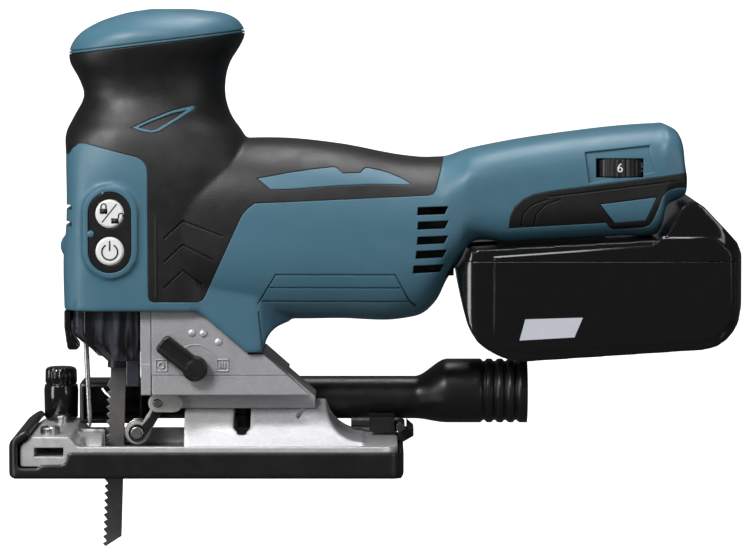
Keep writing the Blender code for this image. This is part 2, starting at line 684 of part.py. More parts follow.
def add_gear_housing():
    """The casting that carries gear, bearings and plunger, and rocks on the saddle on a narrow foot."""
    outline = [
        (HOUSING_FRONT, HOUSING_TOP),
        (HOUSING_FRONT, 0.0321),
        (-0.0096, FOOT_HEIGHT - 0.002),
        (HOUSING_TOE, FOOT_HEIGHT - 0.002),
        (HOUSING_TOE, HOUSING_TOE_HEIGHT),
        (HOUSING_SHOULDER_X, HOUSING_SHOULDER_Z),
        (HOUSING_REAR, HOUSING_SHOULDER_Z),
        (HOUSING_REAR, HOUSING_TOP),
    ]
    half = HOUSING_HALF_WIDTH
    cast = new_object("gear_housing", prism_mesh(outline, -half, half), CAST_ALUMINIUM, housing)
    sides = []
    for side in (-1, 1):
        inner, outer = side * TILT_FOOT_HALF_WIDTH, side * (half + OVERRUN)
        section = [(inner, 0.0), (outer, 0.0), (outer, HOUSING_LEDGE), (inner, HOUSING_LEDGE)]
        name = "foot_recess_left" if side < 0 else "foot_recess_right"
        sides.append(helper(name, prism_mesh(section, -0.05, 0.06, "X")))
    round_under = turned_mesh(rod(-0.06, 0.08, FOOT_RADIUS), "X", facets=80)
    cut(cast, *sides, helper("foot_round", round_under))
    gear_pot = turned_mesh(
        rod(HOUSING_FRONT - OVERRUN, GEAR_FRONT + GEAR_WIDTH + 0.0016, GEAR_PITCH + 0.0022),
        "X",
        (0, 0, GEAR_HEIGHT),
        28,
    )
    pinion_pot = turned_mesh(
        rod(HOUSING_FRONT - OVERRUN, 0.0082, PINION_PITCH + 0.0018), "X", (0, 0, MOTOR_HEIGHT)
    )
    bearing_seat = turned_mesh(
        rod(0.0080, HOUSING_REAR + OVERRUN, FRONT_BEARING_RADIUS + GAP), "X", (0, 0, MOTOR_HEIGHT), 24
    )
    shaft_bore = turned_mesh(
        rod(-0.01, 0.0080, GEAR_SHAFT_RADIUS + GAP), "X", (0, 0, GEAR_HEIGHT), ROUND
    )
    selector_bore = turned_mesh(
        rod(-half - OVERRUN, -0.004, SELECTOR_SHAFT_RADIUS + GAP), "Y", (SELECTOR_X, 0, SELECTOR_Z), ROUND
    )
    bolt_bore = turned_mesh(rod(0.020, 0.042, CLAMP_BOLT_RADIUS + GAP), "Z", (CLAMP_BOLT_X, 0, 0), 16)
    hub_pocket = turned_mesh(
        rod(-0.02, 0.02, ARM_HUB_RADIUS + 0.0010), "Y", (ARM_PIVOT_X, 0, ARM_PIVOT_Z), ROUND
    )
    lightening = box_mesh((0.0010, -0.0190, 0.0520), (HOUSING_REAR + OVERRUN, 0.0190, GEAR_HEIGHT - 0.006))
    cut(
        cast,
        helper("gear_pot", gear_pot),
        helper("pinion_pot", pinion_pot),
        helper("front_bearing_seat", bearing_seat),
        helper("gear_shaft_bore", shaft_bore),
        helper("selector_bore", selector_bore),
        helper("clamp_bolt_bore", bolt_bore),
        helper("arm_hub_pocket", hub_pocket),
        helper("housing_lightening", lightening),
    )


def add_gear_housing_cover():
    """The front plate over the gear pot, with two lugs that hold the plunger's bushes."""
    half = HOUSING_HALF_WIDTH - 0.0006
    rear = HOUSING_FRONT - GAP
    plate = box_mesh((STRIP_FRONT, -half, COVER_PLATE_FOOT), (rear, half, HOUSING_TOP))
    cover = new_object("gear_housing_cover", plate, CAST_ALUMINIUM, housing)
    window = turned_mesh(
        rod(STRIP_FRONT - OVERRUN, rear + OVERRUN, CRANK_RADIUS + CRANK_ROLLER_RADIUS + 0.0016),
        "X",
        (0, 0, GEAR_HEIGHT),
        28,
    )
    cut(cover, helper("crank_window", window))
    for name, z, forward in (("lower", LOWER_BUSH_Z, 0.0140), ("upper", UPPER_BUSH_Z, 0.0091)):
        reach = PLUNGER_RADIUS + BUSH_WALL + 0.0026
        x = blade_line(z)
        low = (x - forward, -reach, z - BUSH_LENGTH / 2)
        high = (STRIP_FRONT + 0.0005, reach, z + BUSH_LENGTH / 2)
        join(cover, helper(f"{name}_lug", box_mesh(low, high)))
        bore = helper(
            f"{name}_lug_bore",
            turned_mesh(rod(-0.02, 0.02, PLUNGER_RADIUS + FIT + BUSH_WALL + GAP), "Z"),
        )
        bore.location = (x, 0, z)
        bore.rotation_euler = (0, BLADE_LEAN, 0)
        cut(cover, bore)
    cut(cover, guard_rod_bore())
    for side, word in ((-1, "left"), (1, "right")):
        inner, outer = side * TILT_FOOT_HALF_WIDTH, side * (half + OVERRUN)
        foot = COVER_PLATE_FOOT - OVERRUN
        section = [(inner, foot), (outer, foot)]
        section += [(y, abs(y) + COVER_TILT_ROOM) for y in (outer, inner)]
        chamfer = prism_mesh(section, STRIP_FRONT - OVERRUN, rear + OVERRUN, "X")
        cut(cover, helper(f"cover_chamfer_{word}", chamfer))


def guard_rod_bore():
    """The hole in the lower lug that the finger guard is pressed into."""
    bore = helper("guard_rod_bore", turned_mesh(rod(0.04, 0.08, GUARD_RADIUS + GAP), "Z", facets=12))
    bore.location = (GUARD_X, 0, 0)
    bore.rotation_euler = (0, GUARD_LEAN, 0)
    return bore


def add_gear_housing_pieces():
    new_object(
        "gear_shaft",
        turned_mesh(rod(GEAR_FRONT - 0.0020, 0.0076, GEAR_SHAFT_RADIUS), "X"),
        STEEL,
        housing,
        (0, 0, GEAR_HEIGHT),
    )
    for name, z in (("lower_bush", LOWER_BUSH_Z), ("upper_bush", UPPER_BUSH_Z)):
        inner = PLUNGER_RADIUS + FIT
        sleeve = tube(-BUSH_LENGTH / 2, BUSH_LENGTH / 2, inner + BUSH_WALL, inner)
        bush = new_object(
            name,
            turned_mesh(sleeve, "Z"),
            BRONZE,
            housing,
            (blade_line(z), 0, z),
        )
        bush.rotation_euler = (0, BLADE_LEAN, 0)


def add_clamp_bolt():
    """The bolt from below that pinches the saddle between the body and its own washer."""
    inner = SADDLE_RADIUS - SADDLE_WALL
    seat = math.sqrt(inner**2 - CLAMP_HEAD_RADIUS**2) - GAP - 0.0004
    profile = [(seat - 0.0050, 0), (seat - 0.0050, CLAMP_HEAD_RADIUS), (seat, CLAMP_HEAD_RADIUS)]
    profile += [(seat, CLAMP_BOLT_RADIUS), (0.0405, CLAMP_BOLT_RADIUS), (0.0405, 0)]
    bolt = new_object(
        "base_clamp_bolt", turned_mesh(profile, "Z"), DARK_STEEL, housing, (CLAMP_BOLT_X, 0, 0)
    )
    socket = helper("clamp_bolt_socket", turned_mesh(rod(0, seat - 0.002, 0.0026), "Z", facets=6))
    socket.parent = housing
    socket.location = (CLAMP_BOLT_X, 0, 0)
    cut(bolt, socket)


def add_link_plate():
    """A small plate on the left of the foot holds the support arm's pivot pin."""
    start = TILT_FOOT_HALF_WIDTH + GAP
    end = start + LINK_PLATE_THICKNESS
    tail_x = ARM_PIVOT_X + 0.0066
    outline = arc((ARM_PIVOT_X, ARM_PIVOT_Z), LINK_PLATE_RADIUS, 90, 270, 8)
    outline += arc((tail_x, ARM_PIVOT_Z), LINK_PLATE_RADIUS, -90, 90, 8)
    plate = new_object("link_plate", prism_mesh(outline, -end, -start), ZINC, housing)
    hole = turned_mesh(rod(-end - OVERRUN, -start + OVERRUN, 0.0018), "Y", (ARM_PIVOT_X, 0, ARM_PIVOT_Z), 16)
    cut(plate, helper("link_plate_hole", hole))
    pin_profile = rod(-end - 0.0006, TILT_FOOT_HALF_WIDTH, 0.0018 - GAP)
    pin = turned_mesh(pin_profile, "Y", (ARM_PIVOT_X, 0, ARM_PIVOT_Z), 16)
    new_object("arm_pivot_pin", pin, STEEL, housing)


def add_support_arm():
    """The forked arm swings about its pivot pin and holds the grooved roller behind the blade."""
    axis = joint_empty("support_arm_axis", (ARM_PIVOT_X, 0, ARM_PIVOT_Z), parent=housing)
    dx, dz = ROLLER_X - ARM_PIVOT_X, ROLLER_Z - ARM_PIVOT_Z
    half = ARM_HALF_WIDTH
    hub_half = TILT_FOOT_HALF_WIDTH - 0.0008
    arm = new_object(
        "support_arm",
        turned_mesh(rod(-hub_half, hub_half, ARM_HUB_RADIUS), "Y"),
        BLACK_PLASTIC,
        axis,
    )
    heading = math.degrees(math.atan2(dz, dx))
    hub_side = arc((0, 0), 0.0040, heading + 90, heading + 270, 2)
    tip = arc((dx, dz), ROLLER_PIN_RADIUS + 0.0018, heading - 90, heading + 90, 6)
    cheek_outline = hub_side + tip
    body = helper("support_arm_body", prism_mesh(cheek_outline, -half, half))
    body.parent = axis
    join(arm, body)
    gap_half = ROLLER_WIDTH / 2 + GAP
    clear = helper(
        "roller_room",
        turned_mesh(rod(-gap_half, gap_half, ROLLER_RADIUS + 0.0006), "Y", (dx, 0, dz), 24),
    )
    pin_hole = helper(
        "roller_pin_hole",
        turned_mesh(rod(-0.02, 0.02, ROLLER_PIN_RADIUS + GAP), "Y", (dx, 0, dz), ROUND),
    )
    hub_hole = helper("arm_pivot_hole", turned_mesh(rod(-0.03, 0.03, 0.0018 + GAP), "Y", facets=16))
    for tool in (clear, pin_hole, hub_hole):
        tool.parent = axis
    cut(arm, clear, pin_hole, hub_hole)
    pin_half = half + 0.0004
    new_object(
        "roller_pin",
        turned_mesh(rod(-pin_half, pin_half, ROLLER_PIN_RADIUS), "Y"),
        STEEL,
        axis,
        (dx, 0, dz),
    )
    roller_axis = joint_empty("roller_axis", (dx, 0, dz), parent=axis)
    flange, groove = ROLLER_RADIUS, ROLLER_RADIUS - 0.0005
    bore = ROLLER_PIN_RADIUS + GAP
    half = ROLLER_WIDTH / 2
    slot = BLADE_THICKNESS / 2 + FIT
    profile = [(-half, flange), (-slot, flange), (-slot, groove), (slot, groove), (slot, flange)]
    profile += [(half, flange), (half, bore), (-half, bore)]
    new_object("support_roller", turned_mesh(profile, "Y", facets=24), STEEL, roller_axis)


def add_selector():
    """The orbit lever on the left of the housing, with its half-flatted shaft."""
    face = -HOUSING_HALF_WIDTH - GAP
    axis = joint_empty("selector_axis", (SELECTOR_X, face, SELECTOR_Z), parent=housing)
    tip = SELECTOR_LENGTH
    half_hub, half_tip = SELECTOR_HUB_RADIUS, 0.0036
    turn = math.radians(144)
    along = Vector((math.cos(turn), math.sin(turn)))
    side = Vector((-along.y, along.x))
    corners = [side * half_hub * 0.8, along * tip + side * half_tip, along * tip - side * half_tip]
    corners += [-side * half_hub * 0.8]
    outline = [(p.x, p.y) for p in corners]
    lever = new_object(
        "orbit_lever", prism_mesh(outline, -SELECTOR_THICKNESS * 0.72, 0), BLACK_PLASTIC, axis
    )
    hub = helper("orbit_lever_hub", turned_mesh(rod(-SELECTOR_THICKNESS, 0, SELECTOR_HUB_RADIUS), "Y"))
    hub.parent = axis
    join(lever, hub)
    shaft = new_object(
        "orbit_shaft",
        turned_mesh(rod(GAP, 0.0180, SELECTOR_SHAFT_RADIUS), "Y"),
        STEEL,
        axis,
    )
    flat = helper("orbit_shaft_flat", box_mesh((-0.01, 0.0090, 0.0006), (0.01, 0.03, 0.01)))
    flat.parent = axis
    cut(shaft, flat)


# ---------------------------------------------------------------- drive train
def add_drive_gear():
    """The crank gear on its fixed shaft, with the crank pin and its roller."""
    axis = joint_empty("gear_axis", (0, 0, GEAR_HEIGHT), parent=housing)
    mesh_phase = math.pi / 2 + math.pi / GEAR_TEETH
    outline = gear_outline(GEAR_TEETH, GEAR_MODULE, phase=mesh_phase)
    gear = new_object(
        "drive_gear",
        prism_mesh(outline, GEAR_FRONT, GEAR_FRONT + GEAR_WIDTH, "X"),
        DARK_STEEL,
        axis,
        smooth=False,
    )
    bore = helper("gear_bore", turned_mesh(rod(-0.03, 0.03, GEAR_SHAFT_RADIUS + GAP), "X"))
    pin_y, pin_z = CRANK_RADIUS * math.sin(CRANK_START), CRANK_RADIUS * math.cos(CRANK_START)
    tip = yoke_front() + YOKE_THICKNESS + 0.0005
    pin_profile = rod(tip, GEAR_FRONT + 0.0010, CRANK_PIN_RADIUS)
    pin = helper("crank_pin", turned_mesh(pin_profile, "X", (0, pin_y, pin_z), 16))
    for tool in (bore, pin):
        tool.parent = axis
    cut(gear, bore)
    join(gear, pin)
    bored = tube(tip + 0.0004, GEAR_FRONT - 0.0030, CRANK_ROLLER_RADIUS, CRANK_PIN_RADIUS + GAP)
    new_object(
        "crank_roller",
        turned_mesh(bored, "X"),
        STEEL,
        axis,
        (0, pin_y, pin_z),
    )


def yoke_front():
    return STRIP_FRONT - 0.0010 - YOKE_THICKNESS


def add_plunger():
    """Plunger with its cross yoke, then clamp, collar and blade, all on the leaning line."""
    axis = joint_empty("plunger_axis", (BLADE_LINE_X, 0, 0), (0, BLADE_LEAN, 0), housing)
    profile = [(PLUNGER_FOOT, 0), (PLUNGER_FOOT, PLUNGER_RADIUS), (PLUNGER_TOP - 0.001, PLUNGER_RADIUS)]
    profile += [(PLUNGER_TOP, PLUNGER_RADIUS - 0.001), (PLUNGER_TOP, 0)]
    plunger = new_object("plunger", turned_mesh(profile, "Z"), STEEL, axis)
    slot_half = CRANK_ROLLER_RADIUS + GAP
    centre = GEAR_HEIGHT + CRANK_RADIUS - STROKE_ABOVE_REST
    reach = CRANK_RADIUS + CRANK_ROLLER_RADIUS + 0.0010
    half_width = reach + YOKE_WALL
    half_height = slot_half + YOKE_WALL
    front = yoke_front() - blade_line(centre)
    low = (front, -half_width, centre - half_height)
    high = (front + YOKE_THICKNESS, half_width, centre + half_height)
    yoke = helper("yoke", box_mesh(low, high))
    slot = helper(
        "yoke_slot",
        box_mesh((front - 0.01, -reach, centre - slot_half), (front + 0.02, reach, centre + slot_half)),
    )
    seat = PLUNGER_RADIUS + 0.0030
    hub_low = (-seat, -seat, centre + slot_half + 0.0002)
    hub_high = (front + 0.001, seat, centre + half_height)
    hubs = [helper("yoke_hub_upper", box_mesh(hub_low, hub_high))]
    hub_low = (-seat, -seat, centre - half_height)
    hub_high = (front + 0.001, seat, centre - slot_half - 0.0002)
    hubs.append(helper("yoke_hub_lower", box_mesh(hub_low, hub_high)))
    for tool in (yoke, slot, *hubs):
        tool.parent = axis
    join(plunger, yoke, *hubs)
    cut(plunger, slot)
    add_blade_clamp(axis)
    add_blade(axis)


def add_blade_clamp(axis):
    """The clamp grips the blade's shank under the plunger; the sprung collar turns around it."""
    top = PLUNGER_FOOT - GAP
    neck = CLAMP_FOOT + CLAMP_NECK
    profile = [(CLAMP_FOOT, 0), (CLAMP_FOOT, CLAMP_NECK_RADIUS), (neck - 0.0005, CLAMP_NECK_RADIUS)]
    profile += [(neck, CLAMP_RADIUS), (top, CLAMP_RADIUS), (top, 0)]
    clamp = new_object("blade_clamp", turned_mesh(profile, "Z", facets=24), DARK_STEEL, axis)
    half_x, half_y = BLADE_WIDTH / 2 + GAP, BLADE_THICKNESS / 2 + GAP
    slot = helper("clamp_slot", box_mesh((-half_x, -half_y, 0.03), (half_x, half_y, BLADE_TOP + GAP)))
    slot.parent = axis
    cut(clamp, slot)
    new_object(
        "clamp_collar",
        turned_mesh(tube(neck + 0.0001, top - 0.0004, COLLAR_RADIUS, CLAMP_RADIUS + GAP), "Z"),
        STEEL,
        axis,
    )


def add_blade(axis):
    """A T-shank blade: teeth along the front edge, back edge on the roller, tip cut at a slant."""
    front, back = -BLADE_WIDTH / 2, BLADE_WIDTH / 2
    outline = [(back, BLADE_TOP - 0.0004), (back, BLADE_TIP + 0.0045), (front + 0.0012, BLADE_TIP)]
    z = BLADE_TIP + 0.0012
    while z + TOOTH_PITCH < 0.0360:
        outline += [(front, z), (front + TOOTH_DEPTH, z + 0.35 * TOOTH_PITCH)]
        z += TOOTH_PITCH
    outline += [(front, z), (front + 0.0014, z + 0.003), (front + 0.0014, BLADE_TOP - 0.0004)]
    half = BLADE_THICKNESS / 2
    new_object("blade", prism_mesh(outline, -half, half), BLADE_STEEL, axis, smooth=False)


def add_guard_rod():
    """The wire finger guard in front of the blade."""
    top = LOWER_BUSH_Z + BUSH_LENGTH / 2
    foot = GUARD_FOOT
    profile = [(foot, 0), (foot, 0.0005), (foot + 0.004, GUARD_RADIUS), (top, GUARD_RADIUS), (top, 0)]
    wire = new_object(
        "guard_rod", turned_mesh(profile, "Z", facets=12), STEEL, housing, (GUARD_X, 0, 0)
    )
    wire.rotation_euler = (0, GUARD_LEAN, 0)


def add_motor():
    """Stator fixed in the casing; rotor, shaft, pinion and fan turn inside it."""
    end = STATOR_FRONT + STATOR_LENGTH
    height = (0, 0, MOTOR_HEIGHT)
    stator = new_object(
        "stator",
        turned_mesh(tube(STATOR_FRONT, end, STATOR_RADIUS, STATOR_BORE), "X", facets=32),
        COPPER,
        housing,
        height,
    )
    for k in range(6):
        turn = 2 * math.pi * (k + 0.5) / 6
        y, z = 0.0186 * math.cos(turn), 0.0186 * math.sin(turn)
        slot = box_mesh((-0.0015, -0.0016, -0.0035), (STATOR_LENGTH + 0.0015, 0.0016, 0.0035))
        slot_cut = helper(f"winding_slot_{k + 1}", slot)
        slot_cut.location = (STATOR_FRONT, y, MOTOR_HEIGHT + z)
        slot_cut.rotation_euler = (turn - math.pi / 2, 0, 0)
        cut(stator, slot_cut)
    axis = joint_empty("rotor_axis", height, parent=housing)
    radius = STATOR_BORE - ROTOR_GAP
    shaft_front = GEAR_FRONT - 0.0010
    profile = [(GEAR_FRONT + GEAR_WIDTH + 0.0009, 0), (GEAR_FRONT + GEAR_WIDTH + 0.0009, SHAFT_RADIUS)]
    profile += [(STATOR_FRONT + 0.001, SHAFT_RADIUS), (STATOR_FRONT + 0.001, radius)]
    profile += [(end - 0.001, radius), (end - 0.001, SHAFT_RADIUS)]
    profile += [(REAR_BEARING_X + BEARING_LENGTH, SHAFT_RADIUS), (REAR_BEARING_X + BEARING_LENGTH, 0)]
    rotor = new_object("rotor", turned_mesh(profile, "X", facets=24), DARK_STEEL, axis)
    teeth = gear_outline(PINION_TEETH, GEAR_MODULE, phase=-math.pi / 2)
    pinion = helper("pinion", prism_mesh(teeth, shaft_front, GEAR_FRONT + GEAR_WIDTH + 0.002, "X"))
    pinion.parent = axis
    join(rotor, pinion)
    star = []
    for k in range(9):
        turn = 2 * math.pi * k / 9
        for offset, r in ((-0.30, 0.0070), (-0.045, FAN_RADIUS), (0.045, FAN_RADIUS), (0.30, 0.0070)):
            t = turn + offset * 2 * math.pi / 9
            star.append((r * math.cos(t), r * math.sin(t)))
    fan = new_object(
        "cooling_fan", prism_mesh(star, FAN_X, FAN_X + FAN_WIDTH, "X"), BLACK_PLASTIC, axis, smooth=False
    )
    disc = helper("fan_disc", turned_mesh(rod(FAN_X - 0.0014, FAN_X + 0.0002, FAN_RADIUS), "X", facets=28))
    bore = helper("fan_bore", turned_mesh(rod(0, 0.1, SHAFT_RADIUS + GAP), "X", facets=24))
    for tool in (disc, bore):
        tool.parent = axis
    join(fan, disc)
    cut(fan, bore)
    for name, x, outer in (
        ("front_bearing", 0.0090, FRONT_BEARING_RADIUS),
        ("rear_bearing", REAR_BEARING_X - 0.0002, REAR_BEARING_RADIUS),
    ):
        ring = tube(x, x + BEARING_LENGTH, outer, SHAFT_RADIUS + GAP)
        new_object(name, turned_mesh(ring, "X", facets=24), STEEL, housing, height)


# ---------------------------------------------------------------- casing
# Upright part, from the nose's floor to the palm cap: height, front x, back x, half width, squareness
COLUMN = [
    (NOSE_FLOOR, CASING_FRONT, 0.0040, 0.0296, 5.0),
    (0.0840, CASING_FRONT - 0.0004, 0.0040, 0.0300, 5.0),
    (0.1100, CASING_FRONT, 0.0040, 0.0300, 5.0),
    (0.1300, CASING_FRONT, 0.0180, 0.0290, 4.0),
    (0.1389, -0.0585, 0.0140, 0.0272, 3.2),
    (0.1460, -0.0552, 0.0093, 0.0246, 2.7),
    (0.1550, -0.0512, 0.0068, 0.0225, 2.4),
    (0.1610, -0.0532, 0.0070, 0.0226, 2.4),
    (0.1685, -0.0571, 0.0091, 0.0243, 2.4),
    (0.1740, -0.0568, 0.0126, 0.0258, 2.4),
    (0.1790, -0.0536, 0.0149, 0.0262, 2.4),
    (0.1838, -0.0463, 0.0133, 0.0236, 2.4),
    (0.1874, -0.0364, 0.0084, 0.0180, 2.3),
    (0.1898, -0.0240, -0.0060, 0.0080, 2.2),
]
# Motor barrel and tail, front to back: x, underside, top, half width, squareness
BARREL = [
    (-0.0200, 0.0690, 0.1290, 0.0285, 3.4),
    (0.0080, 0.0650, 0.1360, 0.0318, 3.0),
    (0.0300, 0.0626, 0.1368, 0.0335, 2.8),
    (0.0540, 0.0626, 0.1344, 0.0340, 2.8),
    (0.0800, 0.0626, 0.1296, 0.0340, 2.8),
    (0.0878, 0.0645, 0.1288, 0.0338, 2.8),
    (0.0932, 0.0695, 0.1289, 0.0333, 2.8),
    (0.0982, 0.0794, 0.1293, 0.0326, 2.9),
    (0.1035, 0.0868, 0.1311, 0.0318, 3.1),
    (RAIL_START_X, RAIL_START_Z, 0.1321, 0.0313, 3.4),
    (0.1240, rail_height(0.1240), 0.1356, TAIL_HALF_WIDTH, 3.8),
    (0.1480, rail_height(0.1480), 0.1392, TAIL_HALF_WIDTH, 3.8),
    (0.1720, rail_height(0.1720), 0.1419, TAIL_HALF_WIDTH, 3.8),
    (0.1838, rail_height(0.1838), 0.1426, 0.0300, 3.8),
    (0.1905, 0.1112, 0.1411, 0.0290, 3.6),
    (0.1938, 0.1130, 0.1350, 0.0282, 3.4),
    (0.1966, 0.1142, 0.1232, 0.0272, 3.2),
]
BARREL_ROUNDS_FROM = 0.1838
RING_POINTS = 24
INNER_POINTS = 14


def casing_form(name, inset, points=RING_POINTS):
    """The casing's outer surface, or the same surface moved inwards, as one baked helper."""
    rings = []
    floor_pass = OVERRUN if inset else 0
    for k, (z, front, back, half, power) in enumerate(COLUMN):
        low_end = k == 0
        height = z - floor_pass if low_end else min(z, COLUMN[-1][0] - inset)
        shrink = min(inset, half - 0.002)
        plan = superellipse((back - front) / 2 - shrink, half - shrink, power, points)
        middle = (front + back) / 2
        rings.append([(middle + a, b, height - (inset if k > 9 else 0)) for a, b in plan])
    column = helper(name, loft_mesh(rings))
    rings = []
    motor = STATOR_RADIUS + MOTOR_ROOM + SHELL_WALL
    for x, low, high, half, power in BARREL:
        if STATOR_FRONT - MOTOR_SWELL < x < STATOR_FRONT + STATOR_LENGTH + MOTOR_SWELL:
            low, high = min(low, MOTOR_HEIGHT - motor), max(high, MOTOR_HEIGHT + motor)
            half = max(half, motor)
        at = x - inset * max(0.0, (x - BARREL_ROUNDS_FROM) / (BARREL[-1][0] - BARREL_ROUNDS_FROM))
        shrink = min(inset, (high - low) / 2 - 0.0012)
        section = superellipse(half - inset, (high - low) / 2 - shrink, power, points)
        rings.append([(at, -a, (low + high) / 2 + b) for a, b in section])
    barrel = helper(f"{name}_barrel", loft_mesh(rings))
    leg_half = LEG_HALF_WIDTH - inset
    outline = leg_outline(inset)
    leg = helper(f"{name}_leg", prism_mesh(outline, -leg_half, leg_half))
    join(column, barrel, leg)
    return bake(column, barrel, leg)


def leg_outline(inset):
    """The leg behind the nose: its slanted lower edge lies along the gear housing's shoulder."""
    open_end = OVERRUN if inset else 0
    fillet = [(0.0241 - inset, 0.0552), (0.0258 - inset, 0.0587), (0.0287, 0.0612 + inset)]
    return [
        (-0.0240 + inset, 0.1000),
        (-0.0240 + inset, NOSE_FLOOR - open_end),
        (-0.0064, NOSE_FLOOR - open_end),
        (-0.0018, 0.0658 - open_end),
        (0.0160, 0.0504 - open_end),
        (0.0229 - inset, 0.0504 - open_end),
        *fillet,
        (0.0335 - inset / 2, 0.0639 + inset),
        (0.0335 - inset / 2, 0.1000),
    ]


def bake(target, *used):
    """Turns a helper's modifiers into plain mesh and drops the helpers that made it."""
    graph = bpy.context.evaluated_depsgraph_get()
    mesh = bpy.data.meshes.new_from_object(target.evaluated_get(graph))
    target.modifiers.clear()
    target.data = mesh
    for other in used:
        bpy.data.objects.remove(other, do_unlink=True)
    return target


def copy_of(thing, name, finish=None, parent=None):
    """A new object with a copy of another's mesh; a helper when it has no finish."""
    bm = bmesh.new()
    bm.from_mesh(thing.data)
    if finish is None:
        return helper(name, bm)
    return new_object(name, bm, finish, parent)


def above_seam(name, lift):
    """Everything above the palm cap's seam."""
    slope = math.tan(CAP_SEAM_SLOPE)
    left, right = -0.08, 0.03
    z_left = CAP_SEAM_Z + (left - CAP_SEAM_X) * slope + lift
    z_right = CAP_SEAM_Z + (right - CAP_SEAM_X) * slope + lift
    outline = [(left, z_left), (right, z_right), (right, 0.21), (left, 0.21)]
    return helper(name, prism_mesh(outline, -0.05, 0.05))


def grip_outline(grow):
    """The rubber's edge on either side: nose corner, wedge behind the nose, and the barrel's back."""
    g = grow
    return [
        (-0.0680, 0.1290 - g),
        (-0.0546, 0.1336 - g),
        (-0.0507, 0.1358 - g),
        (-0.0281 - g / 2, 0.1300 - g),
        (-0.0245 - g, 0.1272 - g),
        (-0.0236 - g, 0.0710 - g),
        (-0.0020 + g, 0.0712 - g),
        (0.0137 + g, 0.1052 - g),
        (0.0160 + g, 0.1092 - g),
        (0.0196 + g, 0.1117 - g),
        (0.0912 + g, 0.1148 - g),
        (0.0968 + g, 0.1310),
        (0.0990 + g, 0.1420),
        (0.0300, 0.1500),
        (0.0300, 0.2100),
        (-0.0680, 0.2100),
    ]


def strip_outline(grow):
    """The rubber strip along the tail, which wraps round its back end."""
    g = grow
    return [
        (0.1228 - g, 0.1012 - g),
        (0.1252 - g, 0.1099 + g),
        (0.1325 - g, 0.1148 + g),
        (0.1464, 0.1172 + g),
        (0.1932, 0.1232 + g),
        (0.2020, 0.1236 + g),
        (0.2020, 0.1180 - g),
        (0.1885 + g, 0.1172 - g),
        (0.1842 + g, 0.1141 - g),
        (0.1796 + g, 0.1020 - g),
        (0.1653, 0.1006 - g),
        (0.1622, 0.1034 - g),
    ]


outer_form = casing_form("outer_form", 0)
skin_form = casing_form("skin_form", GRIP_SKIN)
under_grip_form = casing_form("under_grip_form", GRIP_SKIN + 2 * GAP)
rib_form = casing_form("rib_form", (GRIP_SKIN + GAP + SHELL_WALL) / 2)
inner_form = casing_form("inner_form", SHELL_WALL, INNER_POINTS)
SCREWS = [(-0.0490, 0.1260), (0.0290, 0.0705), (0.0780, 0.0696), (0.1880, 0.1290)]
VENT_DEPTH = 0.0235
VENTS = [(0.0918, 0.1084), (0.0919, 0.1026), (0.0917, 0.0965), (0.0912, 0.0908), (0.0901, 0.0848)]


def surface_y(x, z, side):
    """How far out the casing's surface is at a point seen from one side."""
    origin = Vector((x, side * 0.1, z))
    hit, point, _, _ = outer_form.ray_cast(origin, Vector((0, -side, 0)))
    return point.y if hit else 0.0


def half_space(name, side, edge=GAP / 2):
    low, high = sorted((side * edge, side * 0.08))
    return helper(name, box_mesh((-0.1, low, 0.02), (0.25, high, 0.22)))


def rubber_region(name, grow):
    """Where rubber covers the shell: the outer skin inside the grip's and the strip's outlines."""
    region = helper(name, prism_mesh(grip_outline(grow), -0.06, 0.06))
    strip = helper(f"{name}_strip", prism_mesh(strip_outline(grow), -0.06, 0.06))
    join(region, strip)
    if grow:
        cut(region, under_grip_form)
    return bake(region, strip)


def screw_holes(side):
    """Bosses, and the bores and counterbores of the casing screws, for one half."""
    bosses, bores = [], []
    for k, (x, z) in enumerate(SCREWS):
        face = surface_y(x, z, side)
        low, high = sorted((-side * OVERRUN, face))
        boss = helper(
            f"boss_{side}_{k}",
            turned_mesh(rod(low, high, SCREW_BOSS_RADIUS), "Y", (x, 0, z), 16),
        )
        keep_inside(boss, rib_form)
        bosses.append(boss)
        if side > 0:
            head_seat = face - 0.0010 - SCREW_HEAD_HEIGHT
            profile = [(-0.001, 0), (-0.001, SCREW_RADIUS + GAP), (head_seat, SCREW_RADIUS + GAP)]
            profile += [(head_seat, SCREW_HEAD_RADIUS + GAP), (0.06, SCREW_HEAD_RADIUS + GAP), (0.06, 0)]
        else:
            profile = rod(-0.0085, 0.001, SCREW_RADIUS + GAP)
        bores.append(helper(f"screw_bore_{side}_{k}", turned_mesh(profile, "Y", (x, 0, z), 16)))
    return bosses, bores


def motor_ribs(side):
    """Walls across one half that carry the stator and the rear bearing."""
    ribs = []
    places = [
        (STATOR_FRONT + 0.004, 0.0022, STATOR_RADIUS),
        (STATOR_FRONT + STATOR_LENGTH - 0.006, 0.0022, STATOR_RADIUS),
        (REAR_BEARING_X, 0.0050, REAR_BEARING_RADIUS),
    ]
    for k, (x, width, radius) in enumerate(places):
        reach = 0.0500 if radius == STATOR_RADIUS else VENT_DEPTH - 0.0020
        low, high = sorted((-side * OVERRUN, side * reach))
        rib = helper(f"rib_{side}_{k}", box_mesh((x, low, 0.055), (x + width, high, 0.15)))
        bore = turned_mesh(rod(x - 0.01, x + 0.02, radius + GAP), "X", (0, 0, MOTOR_HEIGHT), 32)
        keep_inside(rib, rib_form)
        cut(rib, helper(f"rib_bore_{side}_{k}", bore))
        ribs.append(rib)
    return ribs


def vent_slots(side):
    """Five slots on one side, beside the fan; the lowest one is shorter."""
    slots = []
    for k, (x, z) in enumerate(VENTS):
        half = 0.0066 if k < 4 else 0.0058
        low, high = sorted((side * VENT_DEPTH, side * 0.05))
        slot = box_mesh((x - half, low, z - 0.0019), (x + half, high, z + 0.0019))
        slots.append(helper(f"vent_slot_{side}_{k}", slot))
    return slots


